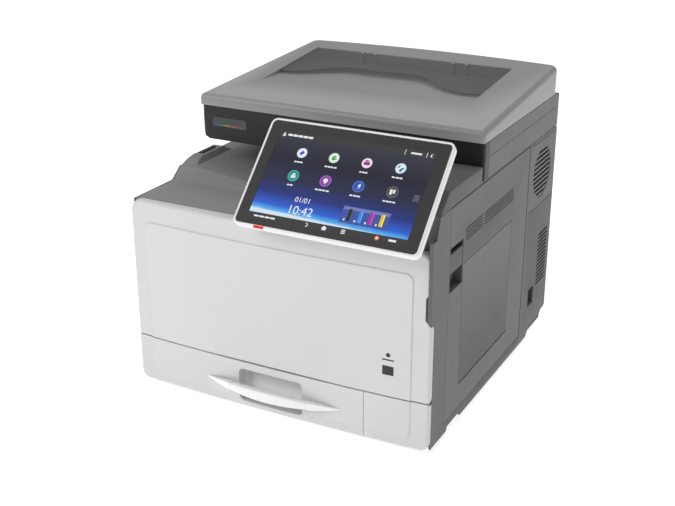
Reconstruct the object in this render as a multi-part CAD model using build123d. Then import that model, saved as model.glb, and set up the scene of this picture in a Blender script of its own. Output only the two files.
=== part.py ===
"""Desktop colour photocopier: covers, doors, paper drawer, scanner, lid and the works inside.

Millimetres. X runs to the right, Y to the back and Z up. While it is modelled, x = 0 is the
middle of the machine, y = 0 the front of the door at its middle and z = 0 the table. Every
piece is shifted along Y on export, so that the origin lies under the middle of the machine.
"""
import os
from math import cos, radians, sin, sqrt

from build123d import *

# ---- overall size
WIDTH = 498.0               # across the covers
DEPTH = 528.0               # front door to rear cover
HEIGHT = 468.0              # table to the back of the closed lid
PANEL_REACH = 36.0          # the operation panel stands this far in front of the door
HALF = WIDTH / 2
SHIFT_Y = (PANEL_REACH - DEPTH) / 2

# ---- walls, gaps and fits
SKIN = 2.5                  # moulded cover
SHEET = 1.5                 # steel sheet
GAP = 0.8                   # between neighbouring covers
RUN = 0.05                  # radial play of a pin in its hole
LOOSE = 0.3                 # between a moving piece and its seat
CUT = 1.0                   # how far a cutting block reaches past a face

# ---- levels
FOOT_H = 9.0
COVER_Z = 9.5               # lower edge of the covers
SPLIT_Z = 87.5              # seam between the drawer and the front door
SPLIT_GAP = 2.0
DOOR_TOP = 313.0
DECK_Z = 310.0              # flat deck behind the door
TRAY_EDGE_Z = 327.0         # left edge of the output tray
SEAM_Z = 361.0              # seam below the right shoulder
SHOULDER_Z = 387.0          # top of the right shoulder
SCANNER_Z = 365.0           # underside of the scanner
SCANNER_SEAM_Z = 396.0
SCANNER_TOP = 420.0
LID_FRONT_Z = 438.0         # top of the lid at its front

# ---- bowed front
BOW = 7.0                   # its ends lie this far behind its middle
BOW_R = (HALF ** 2 + BOW ** 2) / (2 * BOW)
RAISE = 1.5                 # the inner field stands this proud
FIELD_X = HALF - 27.0             # half width of the inner field
FIELD_Z = (24.0, 281.0)
FIELD_R = 12.0
FRONT_TOP_R = 20.0
FRONT_LOW_R = 14.0
FRONT_EDGE_R = 5.0
FLANGE_Y = 17.5             # the front wraps round the sides to here
SIDE_Y = 18.3               # front edge of the side covers
DRAWER_SPLIT_X = HALF - 99.0      # seam between the drawer and the fixed lower cover

# ---- front door hinge
DOOR_AXIS_Y = 9.0
DOOR_AXIS_Z = 97.0
DOOR_PIN_R = 2.2
DOOR_EAR_X = 120.0

# ---- right door
RDOOR_Y = (66.8, 393.0)
RDOOR_Z = (28.0, 360.2)
RDOOR_DEPTH = 17.0
RDOOR_AXIS = (HALF - 3.0, RDOOR_Y[1] - 3.0)
RDOOR_PIN_R = 1.5
BYPASS_Y = (118.0, 320.0)
BYPASS_Z = (67.8, 260.2)
BYPASS_AXIS_X = HALF - 3.0
BYPASS_AXIS_Z = BYPASS_Z[0] + 3.0
LATCH_Y = (68.6, 113.5)
LATCH_Z = (261.5, 291.0)
LATCH_POCKET_Z = (234.0, 301.0)
LATCH_POCKET_Y = 118.0 - 3.2

# ---- drawer
DRAWER_Y = (18.0, 400.0)
CASSETTE_X = (-HALF + 13.0, DRAWER_SPLIT_X - 7.0)
CASSETTE_Z = (14.0, 80.0)
RAIL_Z = 42.0               # top of the ledges that carry the drawer
SHELF_Z = 88.0              # steel shelf over the drawer
PAPER_Y = 210.0             # middle of the paper path
PAPER_W = 211.0             # between the side fences
PAPER_RIGHT = DRAWER_SPLIT_X - 14.0         # leading edge of the stack
PAPER_L = 298.0
GRIP_X = -2.0               # middle of the handle
GRIP_HALF = 118.0
GRIP_JOINT = 66.0
GRIP_Z = 47.0
GRIP_H = 17.0
GRIP_OUT = 20.0             # how far the grip stands out
POCKET_X = (-59.0, 50.0)
POCKET_Z = (20.0, 75.0)
POCKET_Y = 22.0
BOSS_X = (CASSETTE_X[0] + 46.0, CASSETTE_X[1] - 33.0)    # bosses that join the drawer front to the tray

# ---- scanner and lid
SCANNER_X = -HALF + 23.0
TRIM_Y = 184.0              # black front of the scanner
TRIM_WRAP_Y = 203.0
PILLAR_X = HALF - 137.0            # left face of the pillar under the scanner
SHOULDER_Y = 28.5
REAR_WALL_Y = 432.0         # front of the rear housing
LID_Y = 181.0
LID_LEFT = (-HALF + 16.0, -HALF + 42.0)  # left edge at the front and at the back
LID_REAR_BOW = 12.0
LID_REAR_R = 16.0            # rounding of the back corners
LID_CROWN_R = 8.0
LID_AXIS_Y = DEPTH - 8.0
LID_AXIS_Z = 426.0
LID_PIN_R = 2.0
HINGE_X = 120.0
RECESS_X = (-HALF + 74.0, HALF - 64.0)
RECESS_Y = (277.0, DEPTH - 59.0)
FLAP_Y = (335.0, RECESS_Y[1] - 3.0)
FLAP_NOTCH = 48.0           # depth of the wide notch in the flap's front edge
FLAP_NOTCH_X = (-112.0, 94.0)
FLAP_T = 2.0

# ---- operation panel
PANEL_TILT = 44.8           # degrees back from upright
PANEL_X = (HALF - 288.0, HALF - 4.0)
PANEL_H = 172.0
PANEL_T = 13.0
PANEL_Z = 325.0             # lower front edge
PANEL_R = 10.0
PANEL_EDGE_R = 1.2          # rounding of the case's front edge
PANEL_RIM = 3.5
SCREEN_LOW = 12.0           # screen above the lower edge of the glass
SCREEN_LEFT = 20.0
SCREEN_W = PANEL_X[1] - PANEL_X[0] - SCREEN_LEFT - 22.0
SCREEN_H = PANEL_H - SCREEN_LOW - 19.0
PANEL_PIN_R = 2.5
PANEL_PIVOT = 60.0          # pivot this far up the panel's back

# ---- works
DRUM_X = (-170.0, -105.0, -40.0, 25.0)
DRUM_Z = 165.0
DRUM_R = 15.0
DRUM_Y = (110.0, 340.0)
SHAFT_R = 4.0
LASER_TOP = 128.0
DRIVE_Y = 425.0
BOTTLE_X = (-175.0, -112.0, -49.0, 14.0)
BOTTLE_R = 22.0
BOTTLE_SHELF_Z = 238.0
FUSER_X = HALF - 67.0
FUSER_Z = 262.0
FUSER_R = 14.0
NIP = 0.4
FEED_X = PAPER_RIGHT - 16.0
FEED_Z = 93.0
FEED_R = 10.0
FAN_Y = 461.0
FAN_Z = 300.0
FAN_R = 44.0
WALL_X = HALF - 5.5              # steel side walls
POST_X = HALF - 20.0              # right face of the rear post and of the pillar's frame
SHELF_X = POST_X - 1.0       # right end of the steel shelves
INLET_X = HALF - 79.0
INLET_Z = 70.0
SCREW_X = HALF - 24.0
SCREW_PLACES = [(x, z) for x in (-SCREW_X, 0, SCREW_X) for z in (56, 350)]
SCREW_PLACES += [(-SCREW_X, 200), (SCREW_X, 200)]
SWITCH_X = HALF - 12.0            # floor of the mains switch's pocket
SWITCH_Y = (430.0, 456.0)
SWITCH_Z = (65.0, 97.0)
SWITCH_AXIS = ((SWITCH_Y[0] + SWITCH_Y[1]) / 2, (SWITCH_Z[0] + SWITCH_Z[1]) / 2)
EXIT_X = PILLAR_X + 12.0              # paper exit roller
EXIT_Z = 332.0
STOP_X = -HALF + 9.0             # flip-up stop at the tray's left end
STOP_Y = (186.0, 226.0)
STOP_Z = 334.0
EXT_X = (HALF - 8.5, HALF - 6.5)
EXT_Y = (BYPASS_Y[0] + 18.5, BYPASS_Y[1] - 18.5)
LIFT_X = (PAPER_RIGHT - 196.0, PAPER_RIGHT + 1.0)     # lifting plate: hinge and leading edge
LIFT_Z = 21.0
BARREL_X = (PANEL_X[1] - 108.0, PANEL_X[1] - 62.0)   # pivot barrel of the operation panel
CARRIAGE_Y = 355.0
CARRIAGE_Z = 380.0
ROD_R = 4.0
GLASS = (-HALF + 49.0, HALF - 59.0, 215.0, DEPTH - 38.0)
HUMP_X = -HALF + 32.0        # the tray's floor begins here, beside the raised left end
FEET_X = HALF - 49.0
FEET_Y = (60.0, DEPTH - 58.0)
FLAP_PINS = (-86.0, -62.0, 82.0, 106.0)


# ======================================================================= helpers
def box(x0, x1, y0, y1, z0, z1):
    """Block between two limits on each axis."""
    return Pos((x0 + x1) / 2, (y0 + y1) / 2, (z0 + z1) / 2) * Box(x1 - x0, y1 - y0, z1 - z0)


def outline(points):
    return make_face(Polyline(*points, close=True))


def along_x(face, x0, x1):
    """A face drawn in (y, z), run from x0 to x1."""
    return extrude(Plane.YZ.offset(x0) * face, amount=x1 - x0)


def along_y(face, y0, y1):
    """A face drawn in (x, z), run from y0 to y1."""
    return extrude(Plane.XZ.offset(-y1) * face, amount=y1 - y0)


def along_z(face, z0, z1):
    return extrude(Pos(0, 0, z0) * face, amount=z1 - z0)


def rod_x(x0, x1, y, z, r):
    return Pos((x0 + x1) / 2, y, z) * Rot(0, 90, 0) * Cylinder(r, x1 - x0)


def rod_y(y0, y1, x, z, r):
    return Pos(x, (y0 + y1) / 2, z) * Rot(90, 0, 0) * Cylinder(r, y1 - y0)


def rod_z(z0, z1, x, y, r):
    return Pos(x, y, (z0 + z1) / 2) * Cylinder(r, z1 - z0)


def total(shapes):
    """Union of a list of shapes."""
    result = shapes[0]
    for shape in shapes[1:]:
        result = result + shape
    return result


def bowed(inset):
    """Upright drum whose front is the bowed front, set back by the inset."""
    return Pos(0, BOW_R + inset, HEIGHT / 2) * Cylinder(BOW_R, HEIGHT + 2 * CUT)


def bow_y(x):
    """How far the bowed front lies behind its middle."""
    return BOW_R - sqrt(BOW_R ** 2 - x ** 2)


def panel_plane():
    """Front of the operation panel: local X across, local Y up the panel, local Z outwards."""
    y, z = panel_point(0, 0)
    tilt = radians(PANEL_TILT)
    return Plane(origin=(PANEL_X[0], y, z), x_dir=(1, 0, 0), z_dir=(0, -cos(tilt), sin(tilt)))


def panel_point(up, back):
    """(y, z) of a point so far up the panel and so far behind its front."""
    tilt = radians(PANEL_TILT)
    corner = -PANEL_REACH - PANEL_EDGE_R * (cos(tilt) + sin(tilt) - 1)
    y = corner + up * sin(tilt) + back * cos(tilt)
    z = PANEL_Z + up * cos(tilt) - back * sin(tilt)
    return y, z


def lid_top(y):
    """Height of the lid's top at a depth."""
    return LID_FRONT_Z + (HEIGHT - LID_FRONT_Z) * (y - LID_Y) / (DEPTH - LID_Y)


# ======================================================================= bowed front
def front_outline(inset):
    """Outline of the whole front, rounded more at the top than at the bottom."""
    low = COVER_Z + inset
    high = DOOR_TOP - inset
    face = Pos(0, (low + high) / 2) * Rectangle(WIDTH - 2 * inset, high - low)
    face = fillet(face.vertices().group_by(Axis.Y)[-1], FRONT_TOP_R - inset)
    return fillet(face.vertices().group_by(Axis.Y)[0], FRONT_LOW_R - inset)


def front_mass():
    """Solid front with rounded edges and its raised inner field."""
    body = along_y(front_outline(0), -20, FLANGE_Y) & bowed(RAISE)
    body = fillet(body.faces().sort_by(Axis.Y)[0].edges(), FRONT_EDGE_R)
    middle = (FIELD_Z[0] + FIELD_Z[1]) / 2
    field_face = Pos(0, middle) * RectangleRounded(2 * FIELD_X, FIELD_Z[1] - FIELD_Z[0], FIELD_R)
    field = along_y(field_face, -20, FLANGE_Y - 2) & bowed(0)
    field = chamfer(field.faces().sort_by(Axis.Y)[0].edges(), RAISE - 0.1)
    return body + field


def front_core():
    """The space inside the front's shell."""
    return along_y(front_outline(SKIN), -20, FLANGE_Y + CUT) & bowed(RAISE + SKIN)


def step_behind_lip():
    """Cut behind the upper lip of the lower covers, where the door's lower edge swings."""
    cut = box(-HALF - CUT, HALF + CUT, -20, FLANGE_Y + CUT, SPLIT_Z - 3.0, SPLIT_Z + CUT)
    return cut & bowed(3.5)


def front_door():
    """Bottom-hinged door: bowed shell, raised field, finger notch and two hinge ears."""
    low = SPLIT_Z + SPLIT_GAP / 2
    door = front_mass() & box(-HALF - CUT, HALF + CUT, -20, FLANGE_Y, low, DOOR_TOP + CUT)
    rim_x = HALF - 6 - 3 - SKIN
    core = front_core() - box(rim_x, HALF + CUT, -20, FLANGE_Y + 2 * CUT, 203, DOOR_TOP + CUT)
    door = door - (core & box(-HALF, HALF, -20, FLANGE_Y + 2, low - CUT, DOOR_TOP))
    right = [(HALF - 6, DOOR_TOP + CUT), (HALF + CUT, DOOR_TOP + CUT), (HALF + CUT, 205),
             (HALF, 205), (HALF - 9, 216), (HALF - 9, 248), (HALF - 6, 253)]
    left = [(-HALF - CUT, DOOR_TOP + CUT), (-HALF + 2, DOOR_TOP + CUT), (-HALF + 2, 252),
            (-HALF - CUT, 250)]
    door = door - along_y(outline(right), -20, FLANGE_Y + CUT)
    door = door - along_y(outline(left), -20, FLANGE_Y + CUT)
    lower_edge = outline([(-CUT, low - CUT), (RAISE, low - CUT), (RAISE, low), (0, low + RAISE),
                          (-CUT, low + RAISE)])
    door = door - along_x(lower_edge, -DRAWER_SPLIT_X - 90, DRAWER_SPLIT_X + 90)
    swing = box(-HALF - CUT, HALF + CUT, DOOR_AXIS_Y, FLANGE_Y + CUT, low - CUT, DOOR_AXIS_Z)
    swing = swing - rod_x(-HALF - 2, HALF + 2, DOOR_AXIS_Y, DOOR_AXIS_Z, FLANGE_Y - DOOR_AXIS_Y)
    door = door - swing
    for side in (-1, 1):
        x = side * DOOR_EAR_X
        ear = box(x - 3, x + 3, bow_y(x) + RAISE + 1, DOOR_AXIS_Y, DOOR_AXIS_Z - 4, DOOR_AXIS_Z + 4)
        ear = ear + rod_x(x - 3, x + 3, DOOR_AXIS_Y, DOOR_AXIS_Z, 4)
        door = door + ear - rod_x(x - 4, x + 4, DOOR_AXIS_Y, DOOR_AXIS_Z, DOOR_PIN_R + RUN)
    for x in (-160, -80, 0, 80, 160):
        rib = box(x - 1, x + 1, bow_y(x) + RAISE + 1, FLANGE_Y - 3, DOOR_AXIS_Z + 12, DOOR_TOP - 2)
        door = door + rib
    return door


def lower_front(x0, x1):
    """Shell of the lower front between two seams."""
    high = SPLIT_Z - SPLIT_GAP / 2
    shell = front_mass() & box(x0, x1, -20, FLANGE_Y, COVER_Z - CUT, high)
    inner = front_core() & box(x0 + SKIN, x1 - SKIN, -20, FLANGE_Y + 2, COVER_Z, high - 2 * SKIN)
    return shell - inner - step_behind_lip()


def drawer_front():
    """Drawer front with a rounded pocket behind its handle."""
    front = lower_front(-HALF - CUT, DRAWER_SPLIT_X - GAP / 2)
    wide = POCKET_X[1] - POCKET_X[0]
    tall = POCKET_Z[1] - POCKET_Z[0]
    middle = Pos((POCKET_X[0] + POCKET_X[1]) / 2, (POCKET_Z[0] + POCKET_Z[1]) / 2)
    outer = along_y(middle * RectangleRounded(wide + 2 * SKIN, tall + 2 * SKIN, 10), RAISE + 1,
                    POCKET_Y + SKIN)
    inner = along_y(middle * RectangleRounded(wide, tall, 8), -20, POCKET_Y)
    inner = fillet(inner.faces().sort_by(Axis.Y)[-1].edges(), 6)
    front = front + (outer & bowed(RAISE + 1)) - inner
    for x in BOSS_X:
        front = front + box(x - 6, x + 6, bow_y(x) + RAISE + 1, DRAWER_Y[0], 30, 60)
    return front


def lower_right_cover():
    """Fixed cover beside the drawer, with tabs that reach the base."""
    cover = lower_front(DRAWER_SPLIT_X + GAP / 2, HALF + CUT)
    for x in (DRAWER_SPLIT_X + 15, HALF - 24):
        cover = cover + box(x - 5, x + 5, bow_y(x) + RAISE + 1, 24, 30, 60)
    return cover


def handle():
    """Bowed lens-shaped bar, before it is parted into grip and ends."""
    tip_y = 3.0
    outer = ThreePointArc((GRIP_X - GRIP_HALF, tip_y), (GRIP_X, -GRIP_OUT), (GRIP_X + GRIP_HALF, tip_y))
    inner = ThreePointArc((GRIP_X + GRIP_HALF, tip_y), (GRIP_X, -GRIP_OUT + 12),
                          (GRIP_X - GRIP_HALF, tip_y))
    plan = along_z(make_face(Wire([outer, inner])), GRIP_Z - GRIP_H, GRIP_Z + GRIP_H)
    end = GRIP_HALF + 4
    lens_top = ThreePointArc((GRIP_X - end, GRIP_Z), (GRIP_X, GRIP_Z + GRIP_H / 2), (GRIP_X + end, GRIP_Z))
    lens_low = ThreePointArc((GRIP_X + end, GRIP_Z), (GRIP_X, GRIP_Z - GRIP_H / 2), (GRIP_X - end, GRIP_Z))
    lens = along_y(make_face(Wire([lens_top, lens_low])), -40, 20)
    bar = plan & lens
    return bar - (box(-HALF, HALF, -30, 40, 0, HEIGHT) & bowed(0))


def handle_grip():
    part = handle() & box(GRIP_X - GRIP_JOINT, GRIP_X + GRIP_JOINT, -60, 30, 0, 90)
    ends = part.faces().group_by(Axis.X)
    keep = ends[0].edges() + ends[-1].edges()
    long_edges = [edge for edge in part.edges() if edge not in keep]
    return fillet(long_edges, 3)


def handle_ends():
    """The two tapered ends, which carry the grip on the drawer front."""
    bar = handle()
    joint = GRIP_JOINT + LOOSE
    left = bar & box(GRIP_X - 140, GRIP_X - joint, -60, 30, 0, 90)
    right = bar & box(GRIP_X + joint, GRIP_X + 140, -60, 30, 0, 90)
    return [left, right]


# ======================================================================= base and covers
def base_frame():
    """Welded steel frame: floor, left and rear walls, posts, drawer bay and shelves."""
    wall = WALL_X
    rear = DEPTH - 8
    pieces = [
        box(-wall, wall, 24, rear, FOOT_H, FOOT_H + SHEET),
        box(-wall, -wall + SHEET, 24, rear, FOOT_H, DECK_Z - 12),
        box(-wall, wall, rear - SHEET, rear, FOOT_H, SEAM_Z - 4),
        box(-wall, SHELF_X, 24, rear, SHELF_Z, SHELF_Z + SHEET),
        box(DRAWER_SPLIT_X - SHEET, DRAWER_SPLIT_X, 24, rear, FOOT_H, SHELF_Z + SHEET),
        box(-wall, -wall + 6, 30, rear, RAIL_Z - 2, RAIL_Z),
        box(DRAWER_SPLIT_X - 6, DRAWER_SPLIT_X, 30, rear, RAIL_Z - 2, RAIL_Z),
        box(SHELF_X, WALL_X - 0.5, SHOULDER_Y + SKIN + LOOSE, 64, FOOT_H, SEAM_Z - 4),
        box(POST_X - 15, POST_X, 396, 414, FOOT_H, SEAM_Z - 4),
        box(-wall, 60, 60, 345, BOTTLE_SHELF_Z - SHEET, BOTTLE_SHELF_Z),
        box(DRAWER_SPLIT_X, SHELF_X, 60, 400, FUSER_Z - 34 - SHEET, FUSER_Z - 34),
        box(SHELF_X - 16, SHELF_X, 60, 66, SHELF_Z, FUSER_Z - 34),
        box(SHELF_X - 16, SHELF_X, 394, 400, SHELF_Z, FUSER_Z - 34),
    ]
    frame = total(pieces)
    frame = frame - box(FEED_X - 14, FEED_X + 14, 172, 248, SHELF_Z - CUT, SHELF_Z + SHEET + CUT)
    for y in (164, 252):
        frame = frame + box(FEED_X - 8, FEED_X + 8, y, y + 4, SHELF_Z, FEED_Z + 9)
    frame = frame - rod_y(160, 260, FEED_X, FEED_Z, 3 + RUN)
    inlet = box(INLET_X - 14 - LOOSE, INLET_X + 14 + LOOSE, rear - 3, rear + CUT, INLET_Z - 11 - LOOSE,
                INLET_Z + 11 + LOOSE)
    return frame - inlet


def feet():
    """Four rubber feet under the floor plate."""
    pads = []
    for x in (-FEET_X, FEET_X):
        for y in FEET_Y:
            pads.append(Pos(x, y, FOOT_H / 2) * Cone(12, 15, FOOT_H))
    return pads


def left_cover():
    """Left side cover; its top steps up beside the output tray."""
    top = [(SIDE_Y, COVER_Z + 4), (SIDE_Y + 4, COVER_Z), (470, COVER_Z), (490, 24), (DEPTH - 3, 30),
           (DEPTH - 3, SCANNER_Z - 4), (REAR_WALL_Y + 2, SCANNER_Z - 4), (REAR_WALL_Y - 8, TRAY_EDGE_Z),
           (140, TRAY_EDGE_Z), (118, DECK_Z), (SIDE_Y, DECK_Z)]
    cover = along_x(outline(top), -HALF, -HALF + SKIN)
    cover = cover + box(-HALF + 1, -WALL_X, SIDE_Y, SIDE_Y + SKIN, COVER_Z + 4, DECK_Z - 14)
    for row in range(8):
        z = 180 + 9 * row
        cover = cover - box(-HALF - CUT, -WALL_X, 330, 440, z, z + 4)
    for z in (40, 260):
        for y in (60, 460):
            cover = cover + box(-HALF + 1, -WALL_X, y, y + 12, z, z + 12)
    return cover


def rear_cover():
    """Back panel with vents, screw seats and a cut-out for the mains inlet."""
    z0 = 30
    face = Pos(0, (z0 + SCANNER_Z - 4) / 2) * RectangleRounded(WIDTH, SCANNER_Z - 4 - z0, 4)
    cover = along_y(face, DEPTH - SKIN, DEPTH)
    cover = cover + box(-HALF + SKIN + 1, HALF - SKIN - 1, DEPTH - 7, DEPTH - SKIN, z0 + 4, z0 + 7)
    cover = cover + box(-HALF + SKIN + 1, HALF - SKIN - 1, DEPTH - 7, DEPTH - SKIN, 340, 343)
    for column in range(3):
        for row in range(9):
            x = -190 + 62 * column
            z = 200 + 10 * row
            cover = cover - box(x, x + 48, DEPTH - 4, DEPTH + CUT, z, z + 5)
    cover = cover - box(INLET_X - 15, INLET_X + 15, DEPTH - 4, DEPTH + CUT, INLET_Z - 12, INLET_Z + 12)
    for x, z in SCREW_PLACES:
        cover = cover - rod_y(DEPTH - 1.6, DEPTH + CUT, x, z, 4.2)
        cover = cover - rod_y(DEPTH - 5, DEPTH, x, z, 2.0)
    return cover


def cover_screws():
    """Pan-head screws that hold the rear cover."""
    screws = []
    for x, z in SCREW_PLACES:
        head = rod_y(DEPTH - 1.6, DEPTH - 0.2, x, z, 3.8)
        slot = box(x - 2.5, x + 2.5, DEPTH - 0.8, DEPTH, z - 0.5, z + 0.5)
        cross = box(x - 0.5, x + 0.5, DEPTH - 0.8, DEPTH, z - 2.5, z + 2.5)
        screws.append(head + rod_y(DEPTH - 8, DEPTH - 1.6, x, z, 1.6) - slot - cross)
    return screws


def right_front_cover():
    """Column beside the front door, and the sill under the right door."""
    y1 = RDOOR_Y[0] - GAP
    side = [(SIDE_Y, COVER_Z), (77, COVER_Z), (80, 16), (127, 16), (130, COVER_Z), (394, COVER_Z),
            (394, RDOOR_Z[0] - GAP), (y1, RDOOR_Z[0] - GAP), (y1, SEAM_Z), (SHOULDER_Y, SEAM_Z),
            (SIDE_Y, 330)]
    cover = along_x(outline(side), HALF - SKIN, HALF)
    strip = outline([(HALF - 5.2, 213.5), (HALF, 207.2), (HALF, 330), (HALF - 5.2, 330)])
    strip = along_y(strip, 6.0, SIDE_Y + CUT)
    strip = fillet(strip.edges().filter_by(Axis.Z).sort_by(lambda e: e.center().Y - e.center().X)[0], 3)
    cover = cover + strip
    cover = cover + box(HALF - 7, HALF - 1, SIDE_Y, SIDE_Y + SKIN, COVER_Z + 4, 330)
    cover = cover + box(HALF - 6, HALF - 1, SHOULDER_Y + 2, y1 - 8, SEAM_Z - SKIN, SEAM_Z)
    cover = cover + box(POST_X, HALF - 1, SHOULDER_Y, SHOULDER_Y + SKIN, DECK_Z + 1.5, SEAM_Z)
    x, y = RDOOR_AXIS
    cover = cover + box(x - 6, HALF, y - 6, 394, COVER_Z + 6, RDOOR_Z[0] - GAP)
    cover = cover + rod_z(RDOOR_Z[0] - 2, RDOOR_Z[0] + 8, x, y, RDOOR_PIN_R)
    for z in (60, 200, 320):
        cover = cover + box(WALL_X - 0.5, HALF - 1, 34, 46, z, z + 12)
    return cover


def louvre(x0, x1, y0, y1, z0, pitch, count, slot):
    """Stack of level slots through a side cover."""
    return [box(x0, x1, y0, y1, z0 + pitch * i, z0 + pitch * i + slot) for i in range(count)]


def right_rear_cover():
    """Rear part of the right side: fan opening, louvre and pocket for the mains switch."""
    y0 = RDOOR_Y[1] + 1.0
    side = [(y0, COVER_Z), (430, COVER_Z), (444, 22), (502, 22), (508, 30), (DEPTH - 3, 30),
            (DEPTH - 3, SEAM_Z), (y0, SEAM_Z)]
    cover = along_x(outline(side), HALF - SKIN, HALF)
    cover = cover + box(HALF - 20, HALF - 1, y0 + 4, y0 + 4 + SKIN, 40, SEAM_Z - 6)
    cover = cover - rod_x(HALF - 4, HALF + CUT, FAN_Y, FAN_Z, FAN_R + LOOSE)
    groove = box(HALF - 0.8, HALF + CUT, y0 + 10, DEPTH, 243, 244)
    groove = groove + box(HALF - 0.8, HALF + CUT, y0 + 10, DEPTH, 355.5, 356.5)
    cover = cover - groove
    cover = cover - total(louvre(HALF - 4, HALF + CUT, 467, 513, 92, 7, 14, 3.6))
    pocket = box(SWITCH_X - 9, HALF - 1, SWITCH_Y[0] - SKIN, SWITCH_Y[1] + SKIN, SWITCH_Z[0] - SKIN,
                 SWITCH_Z[1] + SKIN)
    ramp = outline([(HALF + CUT, SWITCH_Z[0]), (HALF + CUT, SWITCH_Z[1] + 1), (HALF, SWITCH_Z[1]),
                    (SWITCH_X, SWITCH_Z[1] - 4), (SWITCH_X, SWITCH_Z[0] + 4), (HALF, SWITCH_Z[0])])
    cover = cover + pocket - along_y(ramp, SWITCH_Y[0], SWITCH_Y[1])
    y, z = SWITCH_AXIS
    cover = cover - box(SWITCH_X - 11, SWITCH_X + 2, y - 8, y + 8, z - 11, z + 11)
    cover = cover - rod_y(y - 9.6, y + 9.6, SWITCH_X - 3, z, 1.5 + RUN)
    for z in (50, 230, 340):
        cover = cover + box(POST_X, HALF - 1, 398, 406, z, z + 10)
    return cover


def power_rocker():
    """Rocker of the mains switch on its cross pin."""
    y, z = SWITCH_AXIS
    half = 9.8
    shape = [(SWITCH_X - 7, z - 5), (SWITCH_X - 7, z + 5), (SWITCH_X - 1.6, z + half),
             (SWITCH_X + 2.6, z + half), (SWITCH_X + 0.6, z), (SWITCH_X + 0.2, z - half),
             (SWITCH_X - 3, z - half)]
    return along_y(outline(shape), y - 7.6, y + 7.6) + rod_y(y - 9.5, y + 9.5, SWITCH_X - 3, z, 1.5)


def right_upper_cover():
    """Sloped shoulder behind the panel, running back as a thin strip under the scanner."""
    low = SEAM_Z + GAP
    slope = SHOULDER_Z - low
    edge = TRIM_Y - 6
    side = [(SHOULDER_Y, low), (SHOULDER_Y + slope * 1.15, SHOULDER_Z), (edge, SHOULDER_Z),
            (edge, SCANNER_Z), (DEPTH - 3, SCANNER_Z), (DEPTH - 3, low)]
    cover = along_x(outline(side), PILLAR_X, HALF)
    crest = cover.edges().filter_by(Axis.X).sort_by(lambda e: e.center().Z + 0.001 * e.center().Y)
    cover = fillet(crest[-2], 6)
    rim = cover.faces().sort_by(Axis.X)[-1].edges().filter_by(lambda e: e.center().Z > low + 2)
    cover = fillet(rim.sort_by(Axis.Z)[-1], 1.5)
    hollow = [(SHOULDER_Y + 2 * SKIN, low - CUT), (SHOULDER_Y + 2 * SKIN, low),
              (SHOULDER_Y + slope * 1.15 + SKIN, SHOULDER_Z - SKIN), (edge - SKIN, SHOULDER_Z - SKIN),
              (edge - SKIN, low - CUT)]
    cover = cover - along_x(outline(hollow), PILLAR_X + SKIN, HALF - SKIN)
    x, y = RDOOR_AXIS
    return cover + rod_z(RDOOR_Z[1] - 8, low + CUT, x, y, RDOOR_PIN_R)


def upper_housing():
    """Housing behind and beside the output tray, which carries the scanner."""
    inner_x = POST_X - LOOSE
    back = DEPTH - 8 - SHEET
    z0 = SEAM_Z - 53
    pillar = box(PILLAR_X, inner_x, SHOULDER_Y, back, z0, SEAM_Z)
    pillar = pillar - box(PILLAR_X + SKIN, inner_x + CUT, SHOULDER_Y + SKIN, DEPTH, z0 - CUT, SEAM_Z - SKIN)
    pillar = pillar - box(PILLAR_X - CUT, PILLAR_X + 2 * SKIN, 105, 315, EXIT_Z - 13, EXIT_Z + 13)
    low = TRAY_EDGE_Z - 3
    rear = box(-HALF + SKIN + GAP, PILLAR_X, REAR_WALL_Y, back, low, SCANNER_Z)
    rear = rear - box(-HALF + 2 * SKIN + GAP, PILLAR_X + 2 * SKIN, REAR_WALL_Y + SKIN, DEPTH,
                      low - CUT, SCANNER_Z - SKIN)
    housing = pillar + rear
    housing = housing - rod_y(95, 325, EXIT_X, EXIT_Z, 3 + RUN)
    for y in (99, 317):
        ear = box(PILLAR_X + 1, EXIT_X + 6, y, y + 4, EXIT_Z - 6, SEAM_Z - 1)
        housing = housing + ear - rod_y(y - 1, y + 5, EXIT_X, EXIT_Z, 3 + RUN)
    for y0, y1 in ((34, 42), (460, 470)):
        housing = housing + box(PILLAR_X + 1, SHELF_X, y0, y1, SEAM_Z - 6, SEAM_Z - 1)
    return housing


def exit_roller():
    """Paper exit shaft with four rubber rollers."""
    roller = rod_y(98, 322, EXIT_X, EXIT_Z, 3)
    for y in (125, 175, 235, 285):
        roller = roller + rod_y(y, y + 18, EXIT_X, EXIT_Z, 8)
    return roller


def tray_z(x):
    """Height of the output tray's floor, which falls to the right."""
    return 330 - 0.103 * (x - HUMP_X)


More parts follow.
